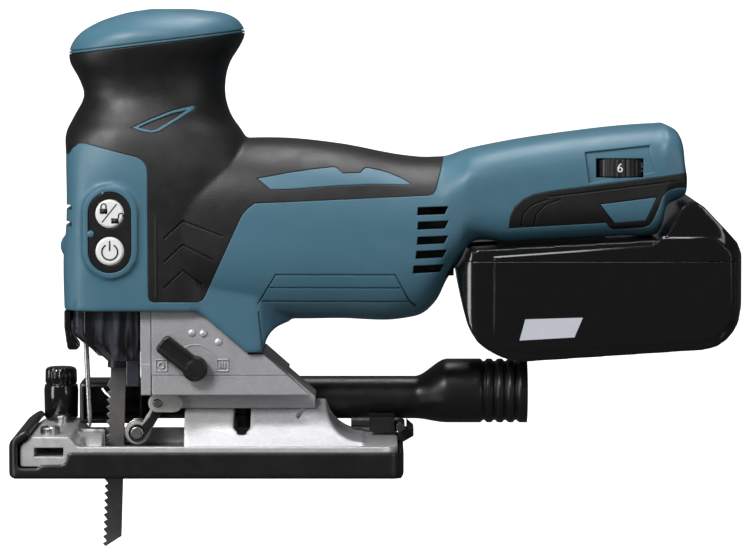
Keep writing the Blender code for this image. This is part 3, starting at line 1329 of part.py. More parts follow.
def add_casing():
    """Two shells that meet on the middle plane, the rubber over them, and the palm cap."""
    rubber_room = rubber_region("rubber_room", GAP)
    rubber = rubber_region("rubber", 0)
    cap_room = above_seam("cap_room", -GAP)
    terminal_room = terminal_box("terminal_room", GAP)
    for side, word in ((-1, "left"), (1, "right")):
        shell = copy_of(outer_form, f"{word}_housing", BLUE_SHELL, housing)
        cut(shell, inner_form)
        bosses, bores = screw_holes(side)
        join(shell, *bosses, *motor_ribs(side), switch_boss(side))
        keep_inside(shell, half_space(f"{word}_half", side))
        cut(shell, rubber_room, cap_room, *bores, *vent_slots(side), terminal_room, switch_room(side))
        if side < 0:
            cut(shell, dial_room())
        grip = copy_of(outer_form, f"{word}_grip", BLACK_RUBBER, housing)
        cut(grip, skin_form)
        keep_inside(grip, helper(f"{word}_grip_edge", prism_mesh(grip_outline(0), -0.06, 0.06)))
        keep_inside(grip, half_space(f"{word}_grip_half", side))
        cut(grip, above_seam(f"{word}_grip_top", -GAP))
        if side > 0:
            cut(grip, bores[0])
    strip = copy_of(outer_form, "tail_strip", BLACK_RUBBER, housing)
    cut(strip, skin_form)
    keep_inside(strip, helper("tail_strip_edge", prism_mesh(strip_outline(0), -0.06, 0.06)))
    cap = copy_of(outer_form, "palm_cap", BLUE_SHELL, housing)
    cut(cap, inner_form)
    keep_inside(cap, above_seam("cap_edge", 0))


def add_casing_screws():
    """Four screws from the right; each runs through the right boss into the left one."""
    for k, (x, z) in enumerate(SCREWS):
        seat = surface_y(x, z, 1) - 0.0010 - SCREW_HEAD_HEIGHT + GAP
        profile = [(-0.0080, 0), (-0.0080, SCREW_RADIUS), (seat, SCREW_RADIUS), (seat, SCREW_HEAD_RADIUS)]
        profile += [(seat + SCREW_HEAD_HEIGHT, SCREW_HEAD_RADIUS), (seat + SCREW_HEAD_HEIGHT, 0)]
        screw = new_object(
            f"casing_screw_{k + 1}", turned_mesh(profile, "Y", facets=12), DARK_STEEL, housing, (x, 0, z)
        )
        socket = helper(
            f"casing_screw_socket_{k + 1}",
            turned_mesh(rod(seat + 0.0010, seat + 0.01, 0.0015), "Y", (x, 0, z), 6),
        )
        cut(screw, socket)


# ---------------------------------------------------------------- switches
def switch_boss(side):
    """The raised oval around a switch panel."""
    low, high = sorted((side * 0.0275, side * PANEL_FACE))
    width = PANEL_HALF_WIDTH + PANEL_BOSS_WIDTH
    outline = stadium((PANEL_X, PANEL_Z), width, PANEL_HALF_HEIGHT + PANEL_BOSS_WIDTH)
    return helper(f"switch_boss_{side}", prism_mesh(outline, low, high))


def switch_room(side):
    """The pocket that the panel drops into, open behind for the buttons."""
    low, high = sorted((side * (PANEL_FACE - PANEL_THICKNESS - 2 * GAP), side * 0.05))
    outline = stadium((PANEL_X, PANEL_Z), PANEL_HALF_WIDTH + GAP, PANEL_HALF_HEIGHT + GAP)
    room = helper(f"switch_room_{side}", prism_mesh(outline, low, high))
    low, high = sorted((side * 0.0200, side * 0.05))
    behind = stadium((PANEL_X, PANEL_Z), BUTTON_RADIUS + 0.0012, PANEL_HALF_HEIGHT - 0.0020)
    join(room, helper(f"switch_behind_{side}", prism_mesh(behind, low, high)))
    return room


def add_switches():
    """On each side an oval panel, a lock button over a power button, and their board behind."""
    face = PANEL_FACE - GAP
    for side, word in ((-1, "left"), (1, "right")):
        low, high = sorted((side * (face - PANEL_THICKNESS), side * face))
        outline = stadium((PANEL_X, PANEL_Z), PANEL_HALF_WIDTH, PANEL_HALF_HEIGHT, 8)
        panel = new_object(f"switch_panel_{word}", prism_mesh(outline, low, high), BLACK_PLASTIC, housing)
        for button, shift in (("lock", BUTTON_SPREAD), ("power", -BUTTON_SPREAD)):
            z = PANEL_Z + shift
            hole = turned_mesh(rod(-0.05, 0.05, BUTTON_RADIUS + GAP), "Y", (PANEL_X, 0, z), 24)
            cut(panel, helper(f"{button}_hole_{word}", hole))
            axis = joint_empty(f"{button}_button_{word}_axis", (PANEL_X, side * face, z), parent=housing)
            top = side * 0.0002
            low, high = sorted((top, top - side * BUTTON_THICKNESS))
            disc = turned_mesh(rod(low, high, BUTTON_RADIUS), "Y", facets=24)
            new_object(f"{button}_button_{word}", disc, WHITE_BUTTON, axis)
        inner = face - BUTTON_THICKNESS - BUTTON_TRAVEL - 0.0004
        low, high = sorted((side * inner, side * (inner - 0.0014)))
        corner = (PANEL_X - 0.0058, low, PANEL_Z - 0.0104)
        board = box_mesh(corner, (PANEL_X + 0.0058, high, PANEL_Z + 0.0104))
        new_object(f"switch_board_{word}", board, BOARD, housing, smooth=False)


def dial_centre():
    face = surface_y(DIAL_X, DIAL_Z, -1)
    return (DIAL_X, face - DIAL_REACH + DIAL_RADIUS, DIAL_Z)


def dial_room():
    """The window in the left shell that the wheel shows through."""
    x, y, z = dial_centre()
    half = 0.0096
    low = (x - half, -0.05, z - DIAL_HEIGHT / 2 - FIT)
    high = (x + half, y, z + DIAL_HEIGHT / 2 + FIT)
    return helper("dial_room", box_mesh(low, high))


def add_speed_dial():
    """A ribbed thumb wheel with stub shafts that turns about an upright axis."""
    centre = dial_centre()
    axis = joint_empty("speed_dial_axis", centre, parent=housing)
    outline = []
    for k in range(DIAL_RIBS):
        for offset, radius in ((0.0, DIAL_RADIUS), (0.5, DIAL_RADIUS), (0.6, DIAL_RADIUS - 0.0006)):
            t = 2 * math.pi * (k + offset) / DIAL_RIBS
            outline.append((radius * math.cos(t), radius * math.sin(t)))
    half = DIAL_HEIGHT / 2
    wheel = new_object("speed_dial", prism_mesh(outline, -half, half, "Z"), BLACK_PLASTIC, axis)
    stubs = helper("dial_stubs", turned_mesh(rod(-half - 0.0012, half + 0.0012, 0.0020), "Z", facets=16))
    stubs.parent = axis
    join(wheel, stubs)


def terminal_box(name, grow):
    """The block between the rails, in line with the sloping slide."""
    half = TERMINAL_HALF_WIDTH + grow
    bm = box_mesh((0.0120 - grow, -half, -0.0022 - grow), (0.0560 + grow, half, 0.0110 + grow))
    block = helper(name, bm)
    block.location = (RAIL_START_X, 0, RAIL_START_Z)
    block.rotation_euler = (0, -RAIL_SLOPE, 0)
    return block


def add_electronics():
    """Terminal block in the tail's floor, and the controller board over it."""
    bm = box_mesh((0.0120, -TERMINAL_HALF_WIDTH, -0.0022), (0.0560, TERMINAL_HALF_WIDTH, 0.0110))
    block = new_object(
        "terminal_block", bm, BLACK_PLASTIC, housing, (RAIL_START_X, 0, RAIL_START_Z), smooth=False
    )
    block.rotation_euler = (0, -RAIL_SLOPE, 0)
    board_z = 0.1140
    board = box_mesh((0.1160, -0.0210, board_z), (0.1540, 0.0210, board_z + 0.0016))
    new_object("controller_board", board, BOARD, housing, smooth=False)


# ---------------------------------------------------------------- nose fittings
def add_chip_cover():
    """A clear guard bent round the blade; it slides up into the nose."""
    axis = joint_empty("chip_cover_axis", (COVER_FRONT, 0, CHIP_COVER_FOOT), parent=housing)
    half, sheet, corner = COVER_HALF_WIDTH - 0.0004, COVER_SHEET, 0.0100
    rear = STRIP_FRONT - 0.0010 - COVER_FRONT
    outer = [(rear, -half)] + arc((corner, -half + corner), corner, 270, 180, 5)
    outer += arc((corner, half - corner), corner, 180, 90, 5) + [(rear, half)]
    inner = [(rear, half - sheet)] + arc((corner, half - corner), corner - sheet, 90, 180, 5)
    inner += arc((corner, -half + corner), corner - sheet, 180, 270, 5) + [(rear, -half + sheet)]
    height = CHIP_COVER_TOP - CHIP_COVER_FOOT
    cover = new_object("chip_cover", prism_mesh(outer + inner, 0, height, "Z"), SMOKED, axis)
    slant = [(-0.01, -0.01), (0.0135, -0.01), (0.0105, 0.0015), (0.0, 0.0120), (-0.01, 0.0150)]
    slant_cut = helper("chip_cover_slant", prism_mesh(slant, -0.04, 0.04))
    slant_cut.parent = axis
    cut(cover, slant_cut)


def add_release_lever():
    """The blade release lever wraps the nose's foot and swings out about an upright axis."""
    axis = joint_empty("release_lever_axis", (LEVER_PIVOT_X, LEVER_PIVOT_Y, 0), parent=housing)
    px, py = LEVER_PIVOT_X, LEVER_PIVOT_Y
    outline = [
        (-0.0590, -0.0150),
        (-0.0562, -0.0150),
        (-0.0562, 0.0246),
        (-0.0500, 0.0246),
        (-0.0494, 0.0310),
        (-0.0560, 0.0310),
        (-0.0590, 0.0280),
    ]
    local = [(x - px, y - py) for x, y in outline]
    low, high = 0.0590, NOSE_FLOOR - 0.0005
    lever = new_object(
        "blade_release_lever", prism_mesh(local, low, high, "Z"), BLACK_PLASTIC, axis, smooth=False
    )
    tab = [(-0.0590 - px, low + 0.001), (-0.0562 - px, low + 0.001), (-0.0562 - px, 0.0490)]
    tab += [(-0.0578 - px, 0.0490)]
    tab_helper = helper("release_lever_tab", prism_mesh(tab, -0.0150 - py, -0.0030 - py))
    tab_helper.parent = axis
    join(lever, tab_helper)


def add_lamp():
    """The work light's lens looks down at the blade from inside the nose."""
    outline = [(-0.0528, 0.0745), (-0.0528, 0.0800), (-0.0492, 0.0800), (-0.0478, 0.0780), (-0.0492, 0.0745)]
    new_object("lamp_lens", prism_mesh(outline, -0.0080, 0.0080), LENS, housing, smooth=False)


# ---------------------------------------------------------------- battery
def battery_outline():
    """The pack from the side: rails along its top, a raised back, and round lower corners."""
    back_foot = 0.1838 + 0.0006
    return [
        (0.1073, rail_height(0.1073) - 0.0006),
        (back_foot, rail_height(back_foot) - 0.0006),
        (0.1912, 0.1106),
        (0.1968, 0.1132),
        (0.2012, 0.1103),
        (0.2152, 0.0956),
        (0.2173, 0.0907),
        (0.2173, 0.0700),
        (0.2158, 0.0630),
        (0.2118, 0.0568),
        (0.2065, 0.0532),
        (0.2012, 0.0522),
        (0.1300, 0.0475),
        (0.1232, 0.0481),
        (0.1166, 0.0506),
        (0.1097, 0.0555),
        (0.1056, 0.0629),
        (0.1027, 0.0760),
        (0.1016, 0.0828),
        (0.1042, 0.0862),
    ]


def battery_form(name):
    """The outer shape: the side outline met by a plan with round corners."""
    form = helper(name, prism_mesh(battery_outline(), -BATTERY_HALF_WIDTH, BATTERY_HALF_WIDTH))
    corner = 0.0110
    front, back, half = 0.1010, 0.2176, BATTERY_HALF_WIDTH
    plan = arc((back - corner, half - corner), corner, 0, 90, 4)
    plan += arc((front + corner, half - corner), corner, 90, 180, 4)
    plan += arc((front + corner, -half + corner), corner, 180, 270, 4)
    plan += arc((back - corner, -half + corner), corner, 270, 360, 4)
    rounder = helper(f"{name}_plan", prism_mesh(plan, 0.03, 0.13, "Z"))
    keep_inside(form, rounder)
    return bake(form, rounder)


def add_battery():
    """A slide-on pack: tub, lid with the terminal channel, cells and release button."""
    axis = joint_empty("battery_slide_axis", (0, 0, 0))
    axis.parent = housing
    form = battery_form("battery_form")
    wall = BATTERY_WALL
    half = BATTERY_HALF_WIDTH - wall
    room = [
        (0.1065, 0.0905),
        (0.1072, 0.0640),
        (0.1125, 0.0555),
        (0.1260, 0.0504),
        (0.2010, 0.0552),
        (0.2085, 0.0585),
        (0.2140, 0.0680),
        (0.2140, 0.0905),
        (0.1900, 0.0970),
        (0.1830, rail_height(0.183) - 0.0040),
        (0.1110, rail_height(0.111) - 0.0040),
    ]
    hollow = helper("battery_room", prism_mesh(room, -half + 0.001, half - 0.001))
    tub = copy_of(form, "battery_tub", BLACK_PLASTIC, axis)
    keep_inside(tub, helper("tub_part", box_mesh((0.05, -0.06, 0.02), (0.25, 0.06, BATTERY_SEAM))))
    cut(tub, hollow)
    lid = copy_of(form, "battery_lid", BLACK_PLASTIC, axis)
    keep_inside(
        lid, helper("lid_part", box_mesh((0.05, -0.06, BATTERY_SEAM + GAP), (0.25, 0.06, 0.15)))
    )
    channel_half = TERMINAL_HALF_WIDTH + FIT
    channel = helper(
        "terminal_channel",
        box_mesh((-0.02, -channel_half, -0.0022 - FIT), (0.0570, channel_half, 0.01)),
    )
    channel.location = (RAIL_START_X, 0, RAIL_START_Z)
    channel.rotation_euler = (0, -RAIL_SLOPE, 0)
    button_half = 0.0100
    pocket = box_mesh((0.2030, -button_half - FIT, 0.0920), (0.23, button_half + FIT, 0.1066))
    cut(lid, hollow, channel, helper("release_pocket", pocket))
    release_axis = joint_empty("battery_release_axis", (0.2080, 0, 0.1000), parent=axis)
    button = copy_of(form, "battery_release_button", BLACK_PLASTIC)
    button.hide_render = False
    button.display_type = "TEXTURED"
    button.parent = release_axis
    button.matrix_parent_inverse = Matrix.Translation(-Vector((0.2080, 0, 0.1000)))
    keep = box_mesh((0.2034, -button_half, 0.0964), (0.23, button_half, 0.1062))
    keep_inside(button, helper("release_part", keep))
    add_cells(axis)


def add_cells(axis):
    """Two rows of cells across the pack, welded into one block by the strip frame at each end."""
    pitch = 2 * CELL_RADIUS + GAP
    places = []
    for row in range(2):
        for column in range(CELL_COLUMNS):
            x = CELL_START_X + column * pitch
            rise = (x - CELL_START_X) * math.tan(RAIL_SLOPE)
            places.append((x, CELL_START_Z + row * pitch + rise))
    frame_half = CELL_LENGTH / 2 - 0.0030
    left, right = places[0][0] - 0.004, places[CELL_COLUMNS - 1][0] + 0.004
    low, high = places[0][1], places[-1][1]
    drop = high - low - pitch
    frame = [(left, low - 0.003), (right, low + drop - 0.003)]
    frame += [(right, high + 0.003), (left, low + pitch + 0.003)]
    pack = new_object(
        "cell_pack", prism_mesh(frame, -frame_half, frame_half), CELL_SLEEVE, axis, smooth=False
    )
    for k, (x, z) in enumerate(places):
        cell = turned_mesh(rod(-CELL_LENGTH / 2, CELL_LENGTH / 2, CELL_RADIUS), "Y", (x, 0, z), 12)
        join(pack, helper(f"cell_{k + 1:02d}", cell))


add_sole_cover()
add_base_plate()
add_fence_screw()
add_fence_knob()
add_key()
add_dust_nozzle()
add_gear_housing()
add_gear_housing_cover()
add_gear_housing_pieces()
add_clamp_bolt()
add_link_plate()
add_support_arm()
add_selector()
add_drive_gear()
add_plunger()
add_guard_rod()
add_motor()
add_casing()
add_casing_screws()
add_switches()
add_speed_dial()
add_electronics()
add_chip_cover()
add_release_lever()
add_lamp()
add_battery()
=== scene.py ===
import json
import math

import bmesh
import bpy
import numpy as np
from mathutils import Matrix, Vector


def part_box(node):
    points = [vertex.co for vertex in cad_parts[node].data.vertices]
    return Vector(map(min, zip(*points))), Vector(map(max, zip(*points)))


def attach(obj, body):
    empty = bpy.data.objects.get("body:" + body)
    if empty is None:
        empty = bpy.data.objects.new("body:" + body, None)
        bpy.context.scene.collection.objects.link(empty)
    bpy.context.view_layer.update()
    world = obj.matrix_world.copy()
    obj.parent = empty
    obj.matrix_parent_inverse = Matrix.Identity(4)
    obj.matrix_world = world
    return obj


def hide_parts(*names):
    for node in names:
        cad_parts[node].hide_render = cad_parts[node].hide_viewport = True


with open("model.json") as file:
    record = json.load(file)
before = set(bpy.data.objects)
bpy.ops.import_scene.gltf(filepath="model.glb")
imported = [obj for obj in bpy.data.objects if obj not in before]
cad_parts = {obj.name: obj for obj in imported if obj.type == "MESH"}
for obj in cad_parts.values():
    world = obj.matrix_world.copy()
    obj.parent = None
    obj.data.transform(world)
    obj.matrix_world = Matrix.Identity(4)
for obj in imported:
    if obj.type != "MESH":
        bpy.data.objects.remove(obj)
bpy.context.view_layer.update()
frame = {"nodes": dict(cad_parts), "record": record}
SCENE = bpy.context.scene

# ================================================================ camera, floor and lights
# A long lens level with the tool's left side, a pale sweep that runs under and behind it, and large
# soft lights: a key from the upper left, a fill from the right and a strip along the top.
AIM = Vector((0.0684, 0.0, 0.0794))
RISE = math.radians(4.3)
camera_data = bpy.data.cameras.new("camera")
camera_data.lens, camera_data.sensor_width = 185.9, 36.0
camera_data.clip_start, camera_data.clip_end = 0.05, 30.0
camera = bpy.data.objects.new("camera", camera_data)
camera.location = AIM + 1.6 * Vector((0, -math.cos(RISE), math.sin(RISE)))
camera.rotation_euler = (math.pi / 2 - RISE, 0, 0)
SCENE.collection.objects.link(camera)
SCENE.camera = camera
SCENE.view_settings.view_transform = "Standard"


class Value:
    """A socket that adds, multiplies and compares like a number."""

    def __init__(self, finish, socket):
        self.finish, self.socket = finish, socket

    def math(self, operation, *others, turned=False):
        parts = (self, *others)[::-1] if turned else (self, *others)
        node = self.finish.add("ShaderNodeMath", {"operation": operation})
        for socket, part in zip(node.inputs, parts):
            self.finish.feed(socket, part)
        return Value(self.finish, node.outputs[0])

    def __add__(self, other):
        return self.math("ADD", other)

    def __sub__(self, other):
        return self.math("SUBTRACT", other)

    def __rsub__(self, other):
        return self.math("SUBTRACT", other, turned=True)

    def __mul__(self, other):
        return self.math("MULTIPLY", other)

    def __truediv__(self, other):
        return self.math("DIVIDE", other)

    def __rtruediv__(self, other):
        return self.math("DIVIDE", other, turned=True)

    def __lt__(self, other):
        return self.math("LESS_THAN", other)

    def __gt__(self, other):
        return self.math("GREATER_THAN", other)

    __radd__ = __add__
    __rmul__ = __mul__

    def spread(self, low, high, new_low=0.0, new_high=1.0):
        """This value moved from one range to another and held inside it."""
        node = self.finish.add("ShaderNodeMapRange", Value=self)
        for name, number in zip(("From Min", "From Max", "To Min", "To Max"), (low, high, new_low, new_high)):
            node.inputs[name].default_value = number
        return Value(self.finish, node.outputs[0])


SLOTS = {part["material_slot"] for part in frame["record"]["subparts"]}


class Finish:
    """A node material around one Principled shader."""

    def __init__(self, name, colour, roughness, **fixed):
        self.material = bpy.data.materials.new(name)
        self.slot = name if name in SLOTS else ""
        self.material.use_nodes = True
        self.tree = self.material.node_tree
        self.shader = self.tree.nodes["Principled BSDF"]
        self.colour = (*colour, 1.0)
        self.set("Base Color", self.colour)
        self.set("Roughness", roughness)
        for key, value in fixed.items():
            self.set(key.replace("_", " "), value)
        self.place = Value(self, self.add("ShaderNodeTexCoord").outputs["Object"])
        self.normal = None

    def add(self, kind, settings=(), **inputs):
        node = self.tree.nodes.new(kind)
        for key, value in dict(settings).items():
            setattr(node, key, value)
        for key, value in inputs.items():
            self.feed(node.inputs[key.replace("_", " ")], value)
        return node

    def feed(self, socket, value):
        if isinstance(value, Value):
            self.tree.links.new(value.socket, socket)
        else:
            socket.default_value = value

    def set(self, name, value):
        self.feed(self.shader.inputs[name], value)

    def noise(self, size, detail=2.0, stretch=(1, 1, 1)):
        """Cloudy variation, 0 to 1, with features about `size` metres across."""
        scaled = self.add("ShaderNodeVectorMath", {"operation": "MULTIPLY"})
        self.feed(scaled.inputs[0], self.place)
        scaled.inputs[1].default_value = stretch
        node = self.add("ShaderNodeTexNoise", Scale=1.0 / size, Detail=detail)
        self.tree.links.new(scaled.outputs[0], node.inputs["Vector"])
        return Value(self, node.outputs[0])

    def cells(self, size):
        """Distance to the middle of small cells, for a spark-eroded or cast grain."""
        node = self.add("ShaderNodeTexVoronoi", Vector=self.place, Scale=1.0 / size)
        return Value(self, node.outputs["Distance"])

    def axis(self, name):
        node = self.add("ShaderNodeSeparateXYZ", Vector=self.place)
        return Value(self, node.outputs[name])

    def mix(self, factor, first, second):
        node = self.add("ShaderNodeMix", {"data_type": "RGBA"})
        self.feed(node.inputs[0], factor)
        self.feed(node.inputs[6], first if isinstance(first, Value) else (*first[:3], 1.0))
        self.feed(node.inputs[7], second if isinstance(second, Value) else (*second[:3], 1.0))
        return Value(self, node.outputs[2])

    def shade(self, amount, by):
        """Base colour varied in brightness by a value from 0 to 1."""
        dark = tuple(c * (1 - amount) for c in self.colour[:3])
        light = tuple(min(1.0, c * (1 + amount)) for c in self.colour[:3])
        self.set("Base Color", self.mix(by, dark, light))

    def soften(self, radius):
        """Edges catch the light as if rounded."""
        node = self.add("ShaderNodeBevel", {"samples": 6}, Radius=radius)
        self.normal = Value(self, node.outputs[0])
        self.set("Normal", self.normal)

    def bump(self, height, distance, strength=1.0):
        node = self.add("ShaderNodeBump", Height=height, Distance=distance, Strength=strength)
        if self.normal is not None:
            self.feed(node.inputs["Normal"], self.normal)
        self.normal = Value(self, node.outputs[0])
        self.set("Normal", self.normal)


def moulded(name, colour, roughness, grain, depth, edge=0.0005, **fixed):
    """Injection-moulded plastic or rubber: fine grain, slightly uneven sheen and soft edges."""
    finish = Finish(name, colour, roughness, **fixed)
    finish.soften(edge)
    speck = finish.cells(grain)
    finish.bump(speck, depth, 0.6)
    finish.set("Roughness", finish.noise(0.006).spread(0.3, 0.7, roughness - 0.04, roughness + 0.05))
    finish.shade(0.06, finish.noise(0.011))
    return finish


def add_light(name, at, size, power, tint=(1, 1, 1)):
    data = bpy.data.lights.new(name, "AREA")
    data.shape = "RECTANGLE"
    data.size, data.size_y = size
    data.energy, data.color = power, tint
    light = bpy.data.objects.new(name, data)
    light.location = at
    light.rotation_euler = (AIM - light.location).to_track_quat("-Z", "Y").to_euler()
    SCENE.collection.objects.link(light)


def add_stage():
    paper = Finish("backdrop_paper", (0.93, 0.93, 0.93), 0.9)
    paper.shade(0.01, paper.noise(0.05))
    paper.set("Emission Strength", 1.0)
    paper.set("Emission Color", (1, 1, 1, 1))
    radius, back, floor = 1.0, 2.4, -0.13
    profile = [(-4.0, floor), (back - radius, floor)]
    for k in range(1, 13):
        turn = math.pi / 2 * k / 12
        profile.append((back - radius + radius * math.sin(turn), floor + radius - radius * math.cos(turn)))
    profile.append((back, 4.0))
    points = [(side, y, z) for y, z in profile for side in (-4.0, 4.0)]
    faces = [(2 * k, 2 * k + 1, 2 * k + 3, 2 * k + 2) for k in range(len(profile) - 1)]
    mesh = bpy.data.meshes.new("backdrop")
    mesh.from_pydata(points, [], faces)
    mesh.materials.append(paper.material)
    mesh.shade_smooth()
    sweep = bpy.data.objects.new("backdrop", mesh)
    sweep.visible_diffuse = sweep.visible_glossy = False
    SCENE.collection.objects.link(sweep)
    world = bpy.data.worlds.new("room")
    world.use_nodes = True
    world.node_tree.nodes["Background"].inputs["Color"].default_value = (0.82, 0.84, 0.86, 1)
    world.node_tree.nodes["Background"].inputs["Strength"].default_value = 0.10
    SCENE.world = world
    add_light("key", (-0.70, -1.15, 1.00), (0.55, 0.40), 21.0)
    add_light("fill", (0.95, -1.3, 0.35), (0.4, 0.8), 3.5)
    add_light("top", (0.10, 0.00, 1.10), (1.0, 0.35), 9.0)
    add_light("front", (-1.20, -0.75, 0.20), (0.4, 0.8), 7.0)


add_stage()

# ================================================================ casing
# Two glass-filled nylon shells meet on the middle plane and are screwed together from the right.
# The nose, the motor barrel and the tail are one moulding, with a soft blend where they meet.
COLUMN = [
    (0.0672, -0.0590, 0.0040, 0.0296, 5.0),
    (0.0840, -0.0593, 0.0040, 0.0300, 5.0),
    (0.0900, -0.0592, 0.0040, 0.0300, 5.0),
    (0.0990, -0.0583, 0.0040, 0.0300, 5.0),
    (0.1300, -0.0583, 0.0180, 0.0290, 4.0),
    (0.1389, -0.0585, 0.0140, 0.0272, 3.2),
    (0.1460, -0.0552, 0.0093, 0.0246, 2.7),
    (0.1550, -0.0512, 0.0068, 0.0225, 2.4),
    (0.1610, -0.0532, 0.0070, 0.0226, 2.4),
    (0.1685, -0.0571, 0.0091, 0.0243, 2.4),
    (0.1740, -0.0568, 0.0126, 0.0258, 2.4),
    (0.1790, -0.0536, 0.0149, 0.0262, 2.4),
    (0.1838, -0.0463, 0.0133, 0.0236, 2.4),
    (0.1874, -0.0364, 0.0084, 0.0180, 2.3),
    (0.1897, -0.0240, -0.0060, 0.0080, 2.2),
]
RAIL_SLOPE = math.radians(3.2)


def rail_height(x):
    return 0.0934 + (x - 0.1067) * math.tan(RAIL_SLOPE)


BARREL = [
    (-0.0200, 0.0690, 0.1290, 0.0285, 3.4),
    (0.0080, 0.0650, 0.1360, 0.0318, 3.0),
    (0.0300, 0.0626, 0.1368, 0.0335, 2.8),
    (0.0540, 0.0626, 0.1344, 0.0340, 2.8),
    (0.0800, 0.0626, 0.1296, 0.0340, 2.8),
    (0.0878, 0.0645, 0.1288, 0.0338, 2.8),
    (0.0932, 0.0695, 0.1289, 0.0333, 2.8),
    (0.0982, 0.0794, 0.1293, 0.0326, 2.9),
    (0.1035, 0.0868, 0.1311, 0.0318, 3.1),
    (0.1067, rail_height(0.1067), 0.1321, 0.0313, 3.4),
    (0.1240, rail_height(0.1240), 0.1356, 0.0305, 3.8),
    (0.1480, rail_height(0.1480), 0.1392, 0.0305, 3.8),
    (0.1720, rail_height(0.1720), 0.1419, 0.0305, 3.8),
    (0.1838, rail_height(0.1838), 0.1426, 0.0300, 3.8),
    (0.1885, 0.1104, 0.1421, 0.0297, 3.8),
    (0.1912, 0.1114, 0.1408, 0.0293, 3.8),
    (0.1930, 0.1123, 0.1382, 0.0289, 3.6),
    (0.1941, 0.1130, 0.1300, 0.0285, 3.5),
    (0.1950, 0.1136, 0.1240, 0.0281, 3.4),
]


def spline(rows, count):
    """`count` rows along the smooth curve through a table's rows."""
    rows = np.array(rows, float)
    step = np.linalg.norm(np.diff(rows[:, :3], axis=0), axis=1)
    t = np.concatenate([[0.0], np.cumsum(step)])
    slope = np.gradient(rows, t, axis=0)
    at = np.linspace(0, t[-1], count)
    k = np.clip(np.searchsorted(t, at, side="right") - 1, 0, len(t) - 2)
    h = (t[k + 1] - t[k])[:, None]
    u = ((at - t[k])[:, None]) / h
    a, b, c, d = 2 * u**3 - 3 * u**2 + 1, u**3 - 2 * u**2 + u, 3 * u**2 - 2 * u**3, u**3 - u**2
    return a * rows[k] + b * h * slope[k] + c * rows[k + 1] + d * h * slope[k + 1]


def oval(half_a, half_b, power, count):
    t = 2 * np.pi * (np.arange(count) + 0.5) / count
    c, s = np.cos(t), np.sin(t)
    a = half_a * np.sign(c) * np.abs(c) ** (2 / power)
    b = half_b * np.sign(s) * np.abs(s) ** (2 / power)
    return np.stack([a, b], axis=1)


def solid(points, faces):
    """A closed mesh whose faces all look outwards."""
    bm = bmesh.new()
    made = [bm.verts.new(p) for p in points]
    for face in faces:
        bm.faces.new([made[i] for i in face])
    bmesh.ops.recalc_face_normals(bm, faces=bm.faces)
    mesh = bpy.data.meshes.new("shape")
    bm.to_mesh(mesh)
    bm.free()
    return mesh


def loft(rings):
    """A closed skin through rings of equal length, flat at both ends."""
    rings = np.array(rings, float)
    n, m = rings.shape[:2]
    faces = []
    for i in range(n - 1):
        for k in range(m):
            j = (k + 1) % m
            faces.append((i * m + k, i * m + j, (i + 1) * m + j, (i + 1) * m + k))
    faces += [list(range(m)), list(range((n - 1) * m, n * m))]
    return solid(rings.reshape(-1, 3), faces)


def prism(outline, low, high, along="Y"):
    """An outline pushed along one axis: (x, z) along Y, (y, z) along X, (x, y) along Z."""
    spot = {"Y": lambda a, b, s: (a, s, b), "X": lambda a, b, s: (s, a, b), "Z": lambda a, b, s: (a, b, s)}
    return loft([[spot[along](a, b, s) for a, b in outline] for s in (low, high)])


def block(low, high):
    outline = [(low[0], low[2]), (high[0], low[2]), (high[0], high[2]), (low[0], high[2])]
    return prism(outline, low[1], high[1])


def turned(profile, axis="X", centre=(0, 0, 0), facets=64):
    """A solid of revolution from (position, radius) pairs; a ring when no radius is 0."""
    spot = {"X": lambda s, a, b: (s, a, b), "Y": lambda s, a, b: (a, s, b), "Z": lambda s, a, b: (a, b, s)}
    closed = profile[0][1] > 0
    rings = [(s, r) for s, r in profile if r > 0]
    turn = 2 * np.pi * np.arange(facets) / facets
    points = [
        Vector(centre) + Vector(spot[axis](s, r * math.cos(t), r * math.sin(t))) for s, r in rings for t in turn
    ]
    m, faces = facets, []
    for i in range(len(rings) if closed else len(rings) - 1):
        for k in range(m):
            j, up = (k + 1) % m, (i + 1) % len(rings)
            faces.append((i * m + k, i * m + j, up * m + j, up * m + k))
    if not closed:
        faces += [list(range(m)), list(range((len(rings) - 1) * m, len(rings) * m))]
    return solid(points, faces)


def rod(start, end, radius, edge=0.0):
    """The profile of a plain rod, with a small chamfer at both ends if `edge` is given."""
    if not edge:
        return [(start, 0), (start, radius), (end, radius), (end, 0)]
    turned_edge = [(start, radius - edge), (start + edge, radius), (end - edge, radius), (end, radius - edge)]
    return [(start, 0), *turned_edge, (end, 0)]


def thing_of(mesh):
    made = bpy.data.objects.new("shape", mesh)
    SCENE.collection.objects.link(made)
    return made


def baked(thing):
    graph = bpy.context.evaluated_depsgraph_get()
    mesh = bpy.data.meshes.new_from_object(thing.evaluated_get(graph))
    bpy.data.objects.remove(thing, do_unlink=True)
    return mesh


def combined(operation, mesh, others):
    thing = thing_of(mesh.copy())
    tools = [thing_of(other) for other in others]
    for tool in tools:
        step = thing.modifiers.new(operation, "BOOLEAN")
        step.operation, step.object, step.solver = operation, tool, "MANIFOLD"
    made = baked(thing)
    for tool in tools:
        bpy.data.objects.remove(tool, do_unlink=True)
    return made


def cut(mesh, *others):
    return combined("DIFFERENCE", mesh, others)


def join(mesh, *others):
    return combined("UNION", mesh, others)


def keep(mesh, *others):
    return combined("INTERSECT", mesh, others)


def gather(*meshes):
    """Separate shapes as one mesh, for cutting them all at once."""
    bm = bmesh.new()
    for mesh in meshes:
        bm.from_mesh(mesh)
    made = bpy.data.meshes.new("shapes")
    bm.to_mesh(made)
    bm.free()
    return made


